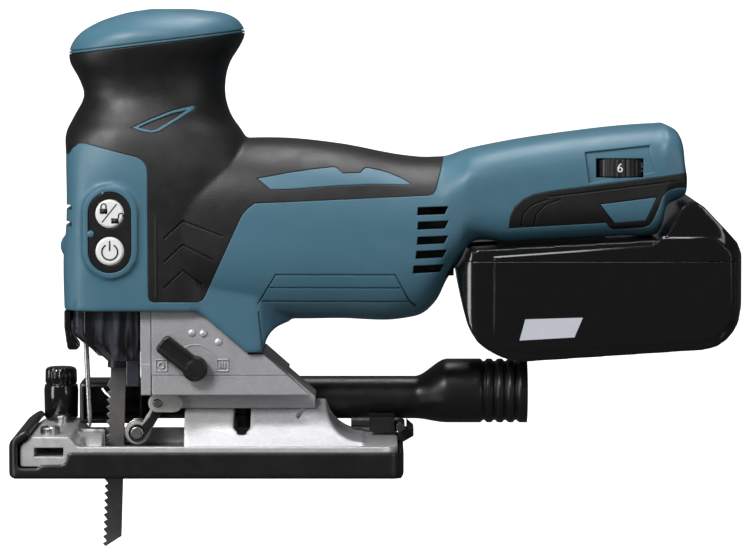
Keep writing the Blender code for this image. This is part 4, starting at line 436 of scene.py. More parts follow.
def melted(mesh, size, rounds):
    """The same solid with every edge and inner corner blended."""
    thing = thing_of(mesh)
    remesh = thing.modifiers.new("blend", "REMESH")
    remesh.mode, remesh.voxel_size = "VOXEL", size
    relax = thing.modifiers.new("relax", "SMOOTH")
    relax.factor, relax.iterations = 0.5, rounds
    return baked(thing)


def piece(name, mesh, finish, body, *instead, sharp=35):
    """A shown piece that rides on a body, in place of the named nodes."""
    mesh = mesh.copy()
    mesh.name = name
    mesh.materials.clear()
    mesh.materials.append(finish.material)
    mesh.shade_smooth()
    if sharp:
        mesh.set_sharp_from_angle(angle=math.radians(sharp))
    thing = bpy.data.objects.new(name, mesh)
    SCENE.collection.objects.link(thing)
    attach(thing, body)
    if instead:
        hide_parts(*instead)
    return thing


def casing(inset, sections=0, points=40):
    """The casing's outside, or the same moved inwards."""
    column = spline(COLUMN, sections) if sections else np.array(COLUMN)
    barrel = spline(BARREL, sections + 20) if sections else np.array(BARREL)
    below = 0.002 if inset else 0
    rings = []
    for k, (z, front, back, half, power) in enumerate(column):
        plan = oval((back - front) / 2 - inset, half - min(inset, half - 0.002), power, points)
        drop = below if k == 0 else inset * max(0.0, (z - 0.172) / 0.0177)
        rings.append([((front + back) / 2 + a, b, z - drop) for a, b in plan])
    upright = loft(rings)
    rings = []
    for x, low, high, half, power in barrel:
        shrink = min(inset, (high - low) / 2 - 0.0012)
        at = x - inset * max(0.0, (x - 0.1838) / 0.0128)
        rings.append([(at, -a, (low + high) / 2 + b) for a, b in oval(half - inset, (high - low) / 2 - shrink, power, points)])
    sideways = loft(rings)
    leg = [(-0.0240 + inset, 0.1000), (-0.0240 + inset, 0.0672 - below), (-0.0064, 0.0672 - below)]
    leg += [(-0.0018, 0.0658 - below), (0.0160, 0.0504 - below), (0.0229 - inset, 0.0504 - below)]
    leg += [(0.0236 - inset, 0.0536), (0.0246 - inset, 0.0562), (0.0262 - inset, 0.0586), (0.0290, 0.0606 + inset)]
    leg += [(0.0335 - inset / 2, 0.0620 + inset), (0.0335 - inset / 2, 0.1000)]
    plan = [(-0.03, 0.0276), (0.0190, 0.0276), (0.0212, 0.0272), (0.0229, 0.0262), (0.0262, 0.0235), (0.0300, 0.0195)]
    plan = [(x, y - inset) for x, y in (*plan, (0.0350, 0.0130))]
    plan += [(x, -y) for x, y in plan[::-1]]
    return join(upright, sideways, keep(prism(leg, -0.0276, 0.0276), prism(plan, 0.04, 0.12, "Z")))


def arc(centre, radius, start, end, steps):
    turns = np.radians(np.linspace(start, end, steps + 1))
    return [(centre[0] + radius * math.cos(t), centre[1] + radius * math.sin(t)) for t in turns]


def stadium(centre, half_width, half_height, steps=20):
    x, z = centre
    rise = half_height - half_width
    return arc((x, z + rise), half_width, 0, 180, steps) + arc((x, z - rise), half_width, 180, 360, steps)


def ribbon(points, width):
    """The outline of a line of some width."""
    points = [Vector(p) for p in points]
    left, right = [], []
    for k, p in enumerate(points):
        before, after = points[max(k - 1, 0)], points[min(k + 1, len(points) - 1)]
        across = (after - before).normalized().orthogonal() * width / 2
        left.append(tuple(p + across))
        right.append(tuple(p - across))
    return left + right[::-1]


BLUE = moulded("blue_shell", (0.058, 0.150, 0.207), 0.42, 0.00035, 0.00004, 0.0007)
PANEL = (-0.0390, 0.0996)
boss = [prism(stadium(PANEL, 0.0111, 0.01885), *sorted((side * 0.020, side * 0.0316))) for side in (-1, 1)]
bulge = turned([(-0.012, 0), (-0.011, 0.0035), (-0.006, 0.0058), (0.006, 0.0058), (0.011, 0.0035), (0.012, 0)], "Y", (-0.0553, 0, 0.0925))
OUTSIDE = melted(join(casing(0, 70, 96), *boss, bulge), 0.0009, 5)
INSIDE = casing(0.0030)


def shallow(depth, *shapes):
    """Shapes that reach only `depth` into the casing from its outside."""
    return cut(gather(*shapes), casing(depth + 0.0001))


def both(outline):
    """The same outline on both sides."""
    return [prism(outline, 0.0150, 0.05), prism(outline, -0.05, -0.0150)]


GRIP_EDGE = [(-0.0680, 0.1290), (-0.0562, 0.1311), (-0.0546, 0.1334), (-0.0520, 0.1354), (-0.0495, 0.1356)]
GRIP_EDGE += [(-0.0281, 0.1300), (-0.0262, 0.1291), (-0.0248, 0.1277), (-0.0239, 0.1257), (-0.0237, 0.1230)]
GRIP_EDGE += [(-0.0236, 0.0735), (-0.0231, 0.0720), (-0.0218, 0.0712), (-0.0034, 0.0711), (-0.0018, 0.0718)]
GRIP_EDGE += [(-0.0008, 0.0732), (0.0137, 0.1050), (0.0150, 0.1072), (0.0170, 0.1095), (0.0198, 0.1115)]
GRIP_EDGE += [(0.0902, 0.1146), (0.0920, 0.1152), (0.0930, 0.1170), (0.0968, 0.1310), (0.0990, 0.1420)]
GRIP_EDGE += [(0.0300, 0.1500), (0.0300, 0.2100), (-0.0680, 0.2100)]
STRIP_EDGE = [(0.1228, 0.1012), (0.1233, 0.1060), (0.1252, 0.1099), (0.1284, 0.1128), (0.1325, 0.1148)]
STRIP_EDGE += [(0.1390, 0.1162), (0.1464, 0.1172), (0.1932, 0.1232), (0.2020, 0.1236), (0.2020, 0.1180)]
STRIP_EDGE += [(0.1905, 0.1176), (0.1870, 0.1164), (0.1848, 0.1141), (0.1834, 0.1100), (0.1812, 0.1045)]
STRIP_EDGE += [(0.1796, 0.1022), (0.1770, 0.1014), (0.1653, 0.1006), (0.1638, 0.1014), (0.1622, 0.1034)]


def grown(outline, by):
    """An outline moved outwards by a small amount."""
    points = np.array(outline)
    ahead, behind = np.roll(points, -1, 0) - points, points - np.roll(points, 1, 0)
    area = np.sum(points[:, 0] * np.roll(points[:, 1], -1) - np.roll(points[:, 0], -1) * points[:, 1])
    normals = [np.stack([d[:, 1], -d[:, 0]], 1) / np.linalg.norm(d, axis=1)[:, None] for d in (ahead, behind)]
    push = (normals[0] + normals[1]) * np.sign(area)
    push = push / np.maximum(np.sum(push * push, 1), 0.8)[:, None] * 2
    return [tuple(p) for p in points + push * by]


def above_seam(lift):
    slope = math.tan(math.radians(6.9))
    ends = [(x, 0.1716 + (x + 0.0562) * slope + lift) for x in (-0.08, 0.03)]
    return prism([*ends, (0.03, 0.21), (-0.08, 0.21)], -0.05, 0.05)


DIAL = (0.1675, 0.1256)
VENTS = [(0.0918, 0.1084), (0.0919, 0.1026), (0.0917, 0.0965), (0.0912, 0.0908), (0.0901, 0.0848)]


def vent(x, z, side):
    lean, half = 0.0016, 0.0064
    outline = [(x - half, z - 0.0018), (x + half - lean, z - 0.0014), (x + half, z + 0.0019), (x - half + 0.0003, z + 0.0015)]
    return prism(outline, *sorted((side * 0.0235, side * 0.05)))


def add_shells():
    rubber_room = cut(prism(grown(GRIP_EDGE, 0.00012), -0.06, 0.06), casing(0.0015))
    strip_room = cut(prism(grown(STRIP_EDGE, 0.00012), -0.06, 0.06), casing(0.0015))
    lines = both(ribbon([(0.0208, 0.0702), (0.0282, 0.0825), (0.0766, 0.0825), (0.0824, 0.0716), (0.0850, 0.0692)], 0.0006))
    for z, left, right in ((0.0771, 0.0257, 0.0786), (0.0713, 0.0223, 0.0817)):
        lines += both(ribbon([(left, z), (right, z)], 0.0006))
    lines += both(ribbon([(0.0210, 0.0672), (0.0229, 0.0505)], 0.0006))
    marks = shallow(0.0005, *lines)
    slots = [block((-0.0620, -0.0400, z - 0.0010), (-0.0548, 0.0400, z + 0.0010)) for z in (0.1093, 0.1026)]
    corner = [(-0.0700, 0.0145), (-0.0508, 0.0287), (-0.0508, 0.0500), (-0.0700, 0.0500)]
    creases = [prism([(x, side * y) for x, y in corner], 0.05, 0.1365, "Z") for side in (-1, 1)]
    recess = [(0.1533, 0.1320), (0.1796, 0.1348), (0.1817, 0.1239), (0.1550, 0.1194)]
    dial_recess = shallow(0.0007, prism(recess, -0.05, -0.015))
    x, z = DIAL
    window = block((x - 0.0096, -0.05, z - 0.0039), (x + 0.0096, -0.0180, z + 0.0039))
    terminal = block((0.0117, -0.0133, -0.0025), (0.0563, 0.0133, 0.0113))
    terminal.transform(Matrix.Translation((0.1067, 0, 0.0934)) @ Matrix.Rotation(-RAIL_SLOPE, 4, "Y"))
    room = [prism(stadium(PANEL, 0.0088, 0.01655), *sorted((side * 0.0200, side * 0.05))) for side in (-1, 1)]
    shell = cut(OUTSIDE, INSIDE, rubber_room, strip_room, above_seam(-0.0003), marks, terminal, *creases, *slots, *room)
    for side, word in ((-1, "left"), (1, "right")):
        low, high = sorted((side * 0.0001, side * 0.08))
        half = keep(shell, block((-0.1, low, 0.02), (0.25, high, 0.22)))
        half = cut(half, *[vent(x, z, side) for x, z in VENTS])
        if side < 0:
            half = cut(half, dial_recess, window)
        piece(f"{word}_shell", half, BLUE, "tool_body", f"{word}_housing")


add_shells()
# Near-black painted shade: flat sheets that stand for the dark space seen through gaps and vents.
VOID = moulded("dust_screen", (0.004, 0.004, 0.004), 0.8, 0.0006, 0.0001)
# A near-black sheet behind each row of vents is painted shade for the dark motor space seen through the slots.
for side, word in ((-1, "left"), (1, "right")):
    shade_sheet = block((0.0837, 0.0224, 0.0815), (0.1005, 0.0231, 0.1125))
    shade_sheet.transform(Matrix.Diagonal((1, side, 1, 1)))
    shade_sheet.flip_normals() if side < 0 else None
    piece(f"vent_shade_{word}", shade_sheet, VOID, "tool_body")

# ================================================================ rubber grip
# Soft black rubber moulded over the shells: the waist under the palm, the wedge behind the nose and
# the back of the barrel. Thin blue lines and a blue leaf are the nylon that shows through it.
RUBBER = moulded("black_rubber", (0.0055, 0.0053, 0.0055), 0.44, 0.00045, 0.00006, 0.0005)
LEAF = [(0.0205, 0.1215), (0.0261, 0.1168), (0.0340, 0.1170), (0.0530, 0.1184), (0.0660, 0.1189), (0.0838, 0.1187)]
LEAF += [(0.0800, 0.1212), (0.0740, 0.1237), (0.0700, 0.1248), (0.0655, 0.1257), (0.0641, 0.1255), (0.0624, 0.1238)]
LEAF += [(0.0555, 0.1235), (0.0528, 0.1258), (0.0515, 0.1261), (0.0430, 0.1252), (0.0340, 0.1239)]
LOOP = [(-0.0305, 0.1418), (-0.0262, 0.1402), (-0.0221, 0.1395), (-0.0190, 0.1402), (-0.0120, 0.1445), (-0.0050, 0.1490)]
LOOP += [(-0.0044, 0.1503), (-0.0058, 0.1508), (-0.0140, 0.1488), (-0.0230, 0.1453)]
LOOP_HOLE = [(-0.0276, 0.1419), (-0.0223, 0.1406), (-0.0204, 0.1410), (-0.0130, 0.1454), (-0.0080, 0.1488)]
LOOP_HOLE += [(-0.0140, 0.1475), (-0.0225, 0.1442)]


def add_grip():
    skin = cut(OUTSIDE, casing(0.0013))
    grooves = []
    for peak, wide in ((0.1042, 0.0), (0.0946, 0.0), (0.0842, 0.0)):
        lean = (0.1042 - peak) * 0.42
        chevron = [(-0.0172, peak - 0.0072), (-0.0095, peak), (0.0068 - lean, peak - 0.0062)]
        grooves += both(ribbon(chevron, 0.0007))
    cuts = shallow(0.0006, *grooves)
    leaf_room = shallow(0.0004, *both(LEAF))
    loop_room = shallow(0.0004, *both(LOOP))
    rubber = keep(skin, prism(GRIP_EDGE, -0.06, 0.06))
    ridge = both(ribbon([(-0.0203, 0.0730), (-0.0203, 0.1150), (-0.0200, 0.1260)], 0.0009))
    rubber = join(rubber, cut(keep(casing(-0.00035), gather(*ridge)), casing(0.0006)))
    rubber = cut(rubber, above_seam(-0.0003), cuts, leaf_room, loop_room)
    for side, word in ((-1, "left"), (1, "right")):
        low, high = sorted((side * 0.0001, side * 0.08))
        half = keep(rubber, block((-0.1, low, 0.02), (0.25, high, 0.22)))
        grip = piece(f"{word}_rubber", half, RUBBER, "tool_body", f"{word}_grip")
    for name, outline, holes in (("leaf", LEAF, []), ("loop", LOOP, both(LOOP_HOLE))):
        inlay = cut(keep(OUTSIDE, gather(*both(grown(outline, -0.0002)))), casing(0.0004), *holes)
        piece(f"grip_{name}", inlay, BLUE, "tool_body")


add_grip()

# ================================================================ palm cap
# A blue nylon dome closes the top of the grip. It meets the rubber at a sloping seam.
def add_cap():
    cap = cut(keep(OUTSIDE, above_seam(0)), INSIDE)
    ring = cut(above_seam(0.0008), above_seam(0.0012))
    # A near-black strip at the bottom of the seam gap is painted shade in the joint between cap and rubber.
    seam_shade = cut(keep(casing(0.0005), cut(above_seam(-0.0003), above_seam(0.0))), INSIDE)
    piece("cap_seam_shade", seam_shade, VOID, "tool_body")
    piece("cap_dome", cut(cap, cut(ring, casing(0.0004))), BLUE, "tool_body", "palm_cap")


add_cap()

# ================================================================ switches
# On both sides an oval black panel carries two white push buttons, a lock over a power switch,
# printed with plain signs. Each button presses in by a millimetre.
SATIN = moulded("black_plastic", (0.009, 0.009, 0.0095), 0.34, 0.0004, 0.00003, 0.0004)
WHITE = moulded("white_button", (0.80, 0.80, 0.79), 0.36, 0.0005, 0.00001, 0.0003)
INK = moulded("sign_ink", (0.010, 0.010, 0.011), 0.5, 0.0004, 0.00001, 0.0001)


def add_signs(side, centre, kind, body):
    """Thin raised signs on one button."""
    x, z = centre
    y = side * 0.03157

    def mark(outline):
        return prism([(x + a, z + b) for a, b in outline], *sorted((y, y + side * 0.00006)))

    if kind == "power":
        marks = [mark(ribbon(arc((0, -0.0003), 0.0032, -240, 60, 30), 0.0006)), mark(ribbon([(0, 0.0002), (0, 0.0042)], 0.0006))]
    else:
        marks = [mark(ribbon([(-0.0031, -0.0035), (0.0029, 0.0040)], 0.0004))]
        for dx, dz, open_by in ((-0.0024, 0.0012, 0.0), (0.0022, -0.0027, 0.0024)):
            marks.append(mark([(dx - 0.0015, dz - 0.0012), (dx + 0.0015, dz - 0.0012), (dx + 0.0015, dz + 0.0009), (dx - 0.0015, dz + 0.0009)]))
            bow = [(dx + open_by - 0.0010, dz + 0.0010), *arc((dx + open_by, dz + 0.0019), 0.0010, 180, 0, 12)]
            marks.append(mark(ribbon([*bow, (dx + open_by + 0.0010, dz + (0.0014 if open_by else 0.0010))], 0.0005)))
    piece(f"{body}_sign", gather(*marks), INK, body, sharp=0)


def add_switches():
    for side, word in ((-1, "left"), (1, "right")):
        low, high = sorted((side * 0.0291, side * 0.0313))
        outer = stadium(PANEL, 0.0085, 0.01625, 28)
        panel = prism(outer, low, high)
        centres = {"lock": (PANEL[0], PANEL[1] + 0.0076), "power": (PANEL[0], PANEL[1] - 0.0076)}
        for kind, (x, z) in centres.items():
            panel = cut(panel, turned(rod(-0.05, 0.05, 0.0061), "Y", (x, 0, z)))
            face = side * 0.0315
            profile = [(face, 0), (face, 0.0050), (face - side * 0.0006, 0.0058), (face - side * 0.0030, 0.0058), (face - side * 0.0030, 0)]
            piece(f"{kind}_cap_{word}", turned(profile, "Y", (x, 0, z)), WHITE, f"{word}_{kind}", f"{kind}_button_{word}")
            add_signs(side, (x, z), kind, f"{word}_{kind}")
        lamp = turned([(side * 0.0290, 0), (side * 0.0290, 0.0014), (side * 0.0316, 0.0014), (side * 0.0319, 0.0008), (side * 0.0319, 0)], "Y", (-0.0467, 0, 0.0990))
        panel = cut(panel, turned(rod(-0.05, 0.05, 0.0015), "Y", (-0.0467, 0, 0.0990)))
        piece(f"switch_lamp_{word}", lamp, BLUE, "tool_body")
        piece(f"switch_oval_{word}", panel, SATIN, "tool_body", f"switch_panel_{word}")


add_switches()

# ================================================================ speed dial
# A ribbed black thumb wheel shows through a window in the tail's left side and carries the six
# speed numbers round its rim. It turns about an upright shaft.
def add_dial():
    low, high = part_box("speed_dial")
    middle = (low + high) / 2
    radius, half = 0.0122, 0.0035
    outline = []
    for k in range(240):
        t = 2 * math.pi * k / 240
        r = radius - 0.0004 * max(0.0, math.sin(36 * t)) ** 0.5
        outline.append((middle.x + r * math.cos(t), middle.y + r * math.sin(t)))
    wheel = prism(outline, middle.z - half, middle.z + half, "Z")
    wheel = join(wheel, turned(rod(middle.z - half - 0.0012, middle.z + half + 0.0012, 0.0020), "Z", (middle.x, middle.y, 0)))
    piece("speed_wheel", wheel, SATIN, "dial", "speed_dial")
    paint = moulded("number_paint", (0.85, 0.85, 0.84), 0.5, 0.0003, 0.00001, 0.0001)
    for k in range(6):
        curve = bpy.data.curves.new(f"speed_{6 - k}", "FONT")
        curve.body = str(6 - k)
        curve.size, curve.align_x, curve.align_y = 0.0052, "CENTER", "CENTER"
        curve.materials.append(paint.material)
        number = bpy.data.objects.new(f"speed_{6 - k}", curve)
        t = math.radians(-90 + 50 * k)
        reach = radius + 0.00003
        number.location = (middle.x + reach * math.cos(t), middle.y + reach * math.sin(t), middle.z)
        number.rotation_euler = (math.pi / 2, 0, t + math.pi / 2)
        SCENE.collection.objects.link(number)
        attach(number, "dial")


add_dial()

# ================================================================ tail strip
# A rubber strip runs along both flanks of the tail and round its end, with a plain blue panel let
# into it and a fine groove beside its upper edge.
INSERT = [(0.1597, 0.1109), (0.1824, 0.1137), (0.1782, 0.1043), (0.1656, 0.1033)]


def add_tail_strip():
    strip = keep(cut(OUTSIDE, casing(0.0013)), prism(STRIP_EDGE, -0.06, 0.06))
    arcs = [[(0.1252 + d, 0.1020), (0.1262 + d, 0.1070), (0.1300 + d, 0.1108), (0.1360 + d, 0.1130)] for d in (0.0022, 0.0075)]
    lines = [shape for points in arcs for shape in both(ribbon(points, 0.0005))]
    lines += both(ribbon([(0.1385, 0.1140), (0.1575, 0.1163), (0.1900, 0.1203)], 0.0006))
    strip = cut(strip, shallow(0.0004, *lines), shallow(0.0004, *both(grown(INSERT, 0.0003))))
    piece("strip_rubber", strip, RUBBER, "tool_body", "tail_strip")
    piece("strip_insert", cut(keep(OUTSIDE, gather(*both(INSERT))), casing(0.0004)), BLUE, "tool_body")


add_tail_strip()

# ================================================================ battery
# A slide-on pack in glossy black ABS: a tub and a lid welded together, a raised panel on each
# flank with a plain printed label, and a spring button in the back corner.
GLOSS = moulded("battery_plastic", (0.005, 0.005, 0.0055), 0.14, 0.0006, 0.00001, 0.0006, Coat_Weight=0.4, Coat_Roughness=0.08)
LABEL = moulded("label_print", (0.58, 0.60, 0.66), 0.35, 0.0004, 0.00001, 0.0001)


def add_battery():
    top = [(0.1073, rail_height(0.1073) - 0.0008), (0.1852, rail_height(0.1844) - 0.0008), (0.1922, 0.1104)]
    back = [(0.1970, 0.1129), (0.2012, 0.1103), (0.2110, 0.1000), (0.2152, 0.0954), (0.2172, 0.0907), (0.2173, 0.0700)]
    low = [(0.2158, 0.0630), (0.2136, 0.0594), (0.2106, 0.0562), (0.2065, 0.0535), (0.2012, 0.0522), (0.1300, 0.0475)]
    front = [(0.1264, 0.0475), (0.1232, 0.0481), (0.1198, 0.0491), (0.1166, 0.0506), (0.1130, 0.0527), (0.1097, 0.0555)]
    front += [(0.1074, 0.0590), (0.1056, 0.0629), (0.1042, 0.0690), (0.1027, 0.0760), (0.1016, 0.0828), (0.1042, 0.0862)]
    outline = top + back + low + front
    body = prism(outline, -0.0364, 0.0364)
    corner, x0, x1, half = 0.0110, 0.1012, 0.2175, 0.0364
    plan = arc((x1 - corner, half - corner), corner, 0, 90, 10) + arc((x0 + corner, half - corner), corner, 90, 180, 10)
    plan += arc((x0 + corner, -half + corner), corner, 180, 270, 10) + arc((x1 - corner, -half + corner), corner, 270, 360, 10)
    body = melted(keep(body, prism(plan, 0.03, 0.13, "Z")), 0.0009, 4)
    panel = [(0.1160, 0.0905), (0.1160, 0.0600), (0.1172, 0.0555), (0.1200, 0.0528), (0.1245, 0.0512), (0.1300, 0.0507)]
    panel += [(0.2010, 0.0553), (0.2062, 0.0568), (0.2100, 0.0603), (0.2126, 0.0660), (0.2134, 0.0720), (0.2130, 0.0905)]
    panel += [(0.2118, 0.0930), (0.2066, 0.0978), (0.2050, 0.0984), (0.1850, 0.0984), (0.1825, 0.0972), (0.1800, 0.0950)]
    for side in (-1, 1):
        rings = [[(a, side * y, b) for a, b in grown(panel, -g)] for y, g in ((0.0340, 0), (0.0362, 0), (0.0369, 0.0009))]
        body = join(body, loft(rings))
    room = [(0.1065, 0.0905), (0.1072, 0.0640), (0.1125, 0.0555), (0.1260, 0.0504), (0.2010, 0.0552), (0.2085, 0.0585)]
    room += [(0.2140, 0.0680), (0.2140, 0.0905), (0.1900, 0.0970), (0.1830, rail_height(0.183) - 0.0040)]
    room += [(0.1110, rail_height(0.111) - 0.0040)]
    channel = block((-0.02, -0.0134, -0.0026), (0.0570, 0.0134, 0.01))
    channel.transform(Matrix.Translation((0.1067, 0, 0.0934)) @ Matrix.Rotation(-RAIL_SLOPE, 4, "Y"))
    pocket = block((0.2030, -0.0104, 0.0920), (0.23, 0.0104, 0.1066))
    body = cut(body, prism(room, -0.0335, 0.0335), channel, pocket)
    piece("pack_tub", keep(body, block((0.05, -0.06, 0.02), (0.25, 0.06, 0.0880))), GLOSS, "battery", "battery_tub")
    piece("pack_lid", keep(body, block((0.05, -0.06, 0.0883), (0.25, 0.06, 0.15))), GLOSS, "battery", "battery_lid")
    label = [(0.1268, 0.0562), (0.1490, 0.0575), (0.1524, 0.0655), (0.1291, 0.0648)]
    for side, word in ((-1, "left"), (1, "right")):
        piece(f"pack_label_{word}", prism(label, *sorted((side * 0.0364, side * 0.03696))), LABEL, "battery")


add_battery()

# ================================================================ castings
# The gear housing and its cover are aluminium castings, shot-blasted above the step and milled
# below it. The base is cast too, with a milled rim.
def cast_metal(name, colour, roughness, grain, depth):
    finish = Finish(name, colour, roughness, Metallic=0.55)
    finish.soften(0.0006)
    finish.bump(finish.noise(grain, 4.0), depth, 0.8)
    finish.set("Roughness", finish.noise(0.004).spread(0.3, 0.7, roughness - 0.07, roughness + 0.08))
    finish.shade(0.13, finish.noise(0.0016, 3.0))
    return finish


CAST = cast_metal("cast_aluminium", (0.42, 0.42, 0.43), 0.52, 0.0005, 0.00022)
BASE_CAST = cast_metal("base_casting", (0.62, 0.62, 0.63), 0.44, 0.0007, 0.00010)
ZINC = cast_metal("zinc_plate", (0.56, 0.55, 0.52), 0.42, 0.0012, 0.00005)
STEEL = cast_metal("steel", (0.52, 0.51, 0.50), 0.30, 0.0016, 0.00001)
STEEL.set("Metallic", 1.0)
BLADE = cast_metal("blade_steel", (0.17, 0.165, 0.16), 0.42, 0.0006, 0.00004)
DARK = cast_metal("dark_steel", (0.05, 0.05, 0.055), 0.38, 0.0007, 0.00004)
BRONZE = cast_metal("bronze", (0.42, 0.27, 0.12), 0.45, 0.0006, 0.00005)
COPPER = cast_metal("copper_winding", (0.55, 0.23, 0.09), 0.40, 0.0006, 0.00010)
SMOKED_WALL = moulded("smoked_wall", (0.17, 0.18, 0.22), 0.25, 0.002, 0.00002, 0.0004)
SMOKED = moulded("smoked_clear", (0.014, 0.014, 0.016), 0.10, 0.002, 0.00002, 0.0004, Transmission_Weight=0.35)
# Stretched lighter streaks in the smoked cover's colour are painted reflections, standing for the lights' highlights on
# its facets.
painted_reflection_streaks = SMOKED.noise(0.0035, 3.0, (1, 1, 0.10)).spread(0.45, 0.68)
SMOKED.set("Base Color", SMOKED.mix(painted_reflection_streaks, (0.010, 0.010, 0.012), (0.10, 0.105, 0.13)))
LENS = moulded("clear_lens", (0.85, 0.87, 0.90), 0.10, 0.002, 0.00001, 0.0003, Transmission_Weight=0.8)
BOARD = moulded("circuit_board", (0.02, 0.11, 0.05), 0.45, 0.0008, 0.00002, 0.0002)
SLEEVE = moulded("cell_sleeve", (0.07, 0.18, 0.09), 0.35, 0.001, 0.00002, 0.0003)

# ================================================================ base
# A die-cast aluminium plate with a milled rim. Its front block is slotted for the parallel fence,
# and the gear housing rocks on its half-round saddle for bevel cuts. A black nylon shoe clips on
# from below and wraps up over the front of the block.
def rounded(low_x, high_x, half, front, rear):
    """A plan with rounded corners, the same on both sides of the middle."""
    plan = arc((high_x - rear, half - rear), rear, 0, 90, 8)
    plan += arc((low_x + front, half - front), front, 90, 180, 8)
    return plan + [(x, -y) for x, y in plan[::-1]]


SHOE_WALL = [(-0.0801, 0.0020), (-0.0801, 0.0130), (-0.0796, 0.0148), (-0.0782, 0.0166), (-0.0756, 0.0186)]
SHOE_WALL += [(-0.0738, 0.0196), (-0.0727, 0.0197), (-0.0718, 0.0188), (-0.0720, 0.0178)]
SHOE_ROOM = [(-0.0762, 0.0024), (-0.0762, 0.0132), (-0.0748, 0.0150), (-0.0716, 0.0176)]
BLOCK_NEAR = [(-0.0757, 0.0046), (-0.0757, 0.0136), (-0.0705, 0.0170), (-0.0555, 0.0170), (-0.0524, 0.0128)]
FENCE_ROOM = ((-0.0698, 0.0088), (-0.0578, 0.0125))


def add_sole_cover():
    side = [*SHOE_WALL, (-0.0600, 0.0178), (-0.0520, 0.0109), (0.0801, 0.0109), (0.0801, 0.0015), (0.0792, 0.0)]
    side += [(-0.0780, 0.0), (-0.0795, 0.0006)]
    shoe = keep(prism(side, -0.0384, 0.0384), prism(rounded(-0.0801, 0.0801, 0.0384, 0.0040, 0.0060), -0.01, 0.03, "Z"))
    room = [*SHOE_ROOM, (-0.0600, 0.0300), (0.0782, 0.0300), (0.0782, 0.0024)]
    shoe = cut(shoe, prism(room, -0.0364, 0.0364))
    window = [(-0.0764, 0.0044), (-0.0764, 0.0140), (-0.0700, 0.0185), (-0.0500, 0.0185), (-0.0500, 0.0109)]
    window += [(-0.0552, 0.0109), (-0.0562, 0.0102), (-0.0568, 0.0072), (-0.0578, 0.0060), (-0.0672, 0.0058), (-0.0676, 0.0044)]
    shoe = cut(shoe, *both(window), block((-0.062, -0.0052, -0.01), (-0.026, 0.0052, 0.0040)))
    piece("sole_shoe", melted(shoe, 0.0007, 3), SATIN, "base", "sole_cover")


def add_base_plate():
    front_low, front_high = FENCE_ROOM
    side = [(-0.0757, 0.0046), *BLOCK_NEAR[1:], (0.0777, 0.0128), (0.0777, 0.0028), (-0.0672, 0.0028), (-0.0676, 0.0046)]
    plate = keep(prism(side, -0.0360, 0.0360), prism(rounded(-0.0757, 0.0777, 0.0360, 0.0012, 0.0060), 0, 0.03, "Z"))
    plate = cut(plate, prism(rounded(-0.0520, 0.0640, 0.0335, 0.0020, 0.0060), 0.0058, 0.03, "Z"))
    hump = turned(rod(-0.0545, -0.0436, 0.0168), "X", facets=120)
    hump = cut(hump, block((-0.1, -0.05, -0.05), (0.1, 0.05, 0.0035)))
    plate = join(plate, hump, block((-0.0536, -0.0272, 0.0030), (-0.0513, 0.0272, 0.0142)))
    saddle = turned(rod(-0.0097, 0.0634, 0.0286), "X", facets=120)
    sweep = arc((0.0634, 0.0286), 0.0150, 180, 270, 12)
    saddle = cut(saddle, prism([*sweep, (0.08, 0.0136), (0.08, 0.05), (0.0484, 0.05)], -0.04, 0.04))
    saddle = cut(saddle, block((-0.1, -0.05, -0.05), (0.1, 0.05, 0.0035)))
    plate = join(plate, saddle)
    slot = block((-0.0436, -0.0262, -0.01), (-0.0107, 0.0262, 0.03))
    front_slot = block((-0.0540, -0.0052, -0.01), (-0.0420, 0.0052, 0.03))
    tunnel = turned(rod(-0.02, 0.0424, 0.0236), "X", facets=96)
    fence = block((front_low[0], -0.05, front_low[1]), (front_high[0], 0.05, front_high[1]))
    ends = arc((0.0140, 0.0040), 0.0034, 0, 180, 12) + arc((0.0140, -0.0196), 0.0034, 180, 360, 12)
    tilt_slot = prism(ends, 0.005, 0.05, "Z")
    plate = melted(cut(plate, slot, front_slot, tunnel, tilt_slot), 0.0008, 4)
    notch = prism(ribbon([(0.0365, 0.0225), (0.0390, 0.0262)], 0.0016), -0.0200, -0.0120)
    screw_room = gather(*[turned(rod(0.0095, 0.03, 0.0027), "Z", (-0.0640, y, 0), 24) for y in (-0.0260, 0.0260)])
    plate = cut(plate, fence, notch, screw_room)
    piece("base_casting", plate, BASE_CAST, "base", "base_plate")
    boss = [(0.0160, 0.0), (0.0160, 0.0034), (0.0198, 0.0034), (0.0204, 0.0028), (0.0204, 0.0)]
    piece("fence_boss", turned(boss, "Z", (-0.0622, 0.0150, 0)), STEEL, "base")


def add_fence_fixings():
    head = [(0.0125, 0.0), (0.0125, 0.0024), (0.0171, 0.0024), (0.0171, 0.0040), (0.0196, 0.0040), (0.0202, 0.0034)]
    screw = turned([*head, (0.0202, 0.0)], "Z", (-0.0640, -0.0260, 0), 64)
    screw = cut(screw, turned(rod(0.0185, 0.03, 0.0020), "Z", (-0.0640, -0.0260, 0), 6))
    piece("fence_bolt", screw, STEEL, "left_fence_screw", "fence_screw")
    x, y = -0.0636, 0.0260
    body = [(0.0125, 0.0), (0.0125, 0.0022), (0.0174, 0.0022), (0.0174, 0.0062), (0.0186, 0.0070), (0.0300, 0.0072)]
    body += [(0.0318, 0.0069), (0.0324, 0.0062), (0.0330, 0.0062), (0.0330, 0.0)]
    cap = []
    for height, reach in ((0.0326, 0.0064), (0.0332, 0.0067), (0.0380, 0.0066), (0.0390, 0.0060), (0.0394, 0.0050)):
        ring = []
        for k in range(144):
            t = 2 * math.pi * k / 144
            flute = 0.0004 * max(0.0, math.sin(18 * t)) if reach > 0.0062 else 0.0
            ring.append((x + (reach - flute) * math.cos(t), y + (reach - flute) * math.sin(t), height))
        cap.append(ring)
    knob = join(turned(body, "Z", (x, y, 0), 96), loft(cap))
    piece("fence_grip", knob, GLOSS, "right_fence_knob", "fence_knob")


add_sole_cover()
add_base_plate()
add_fence_fixings()


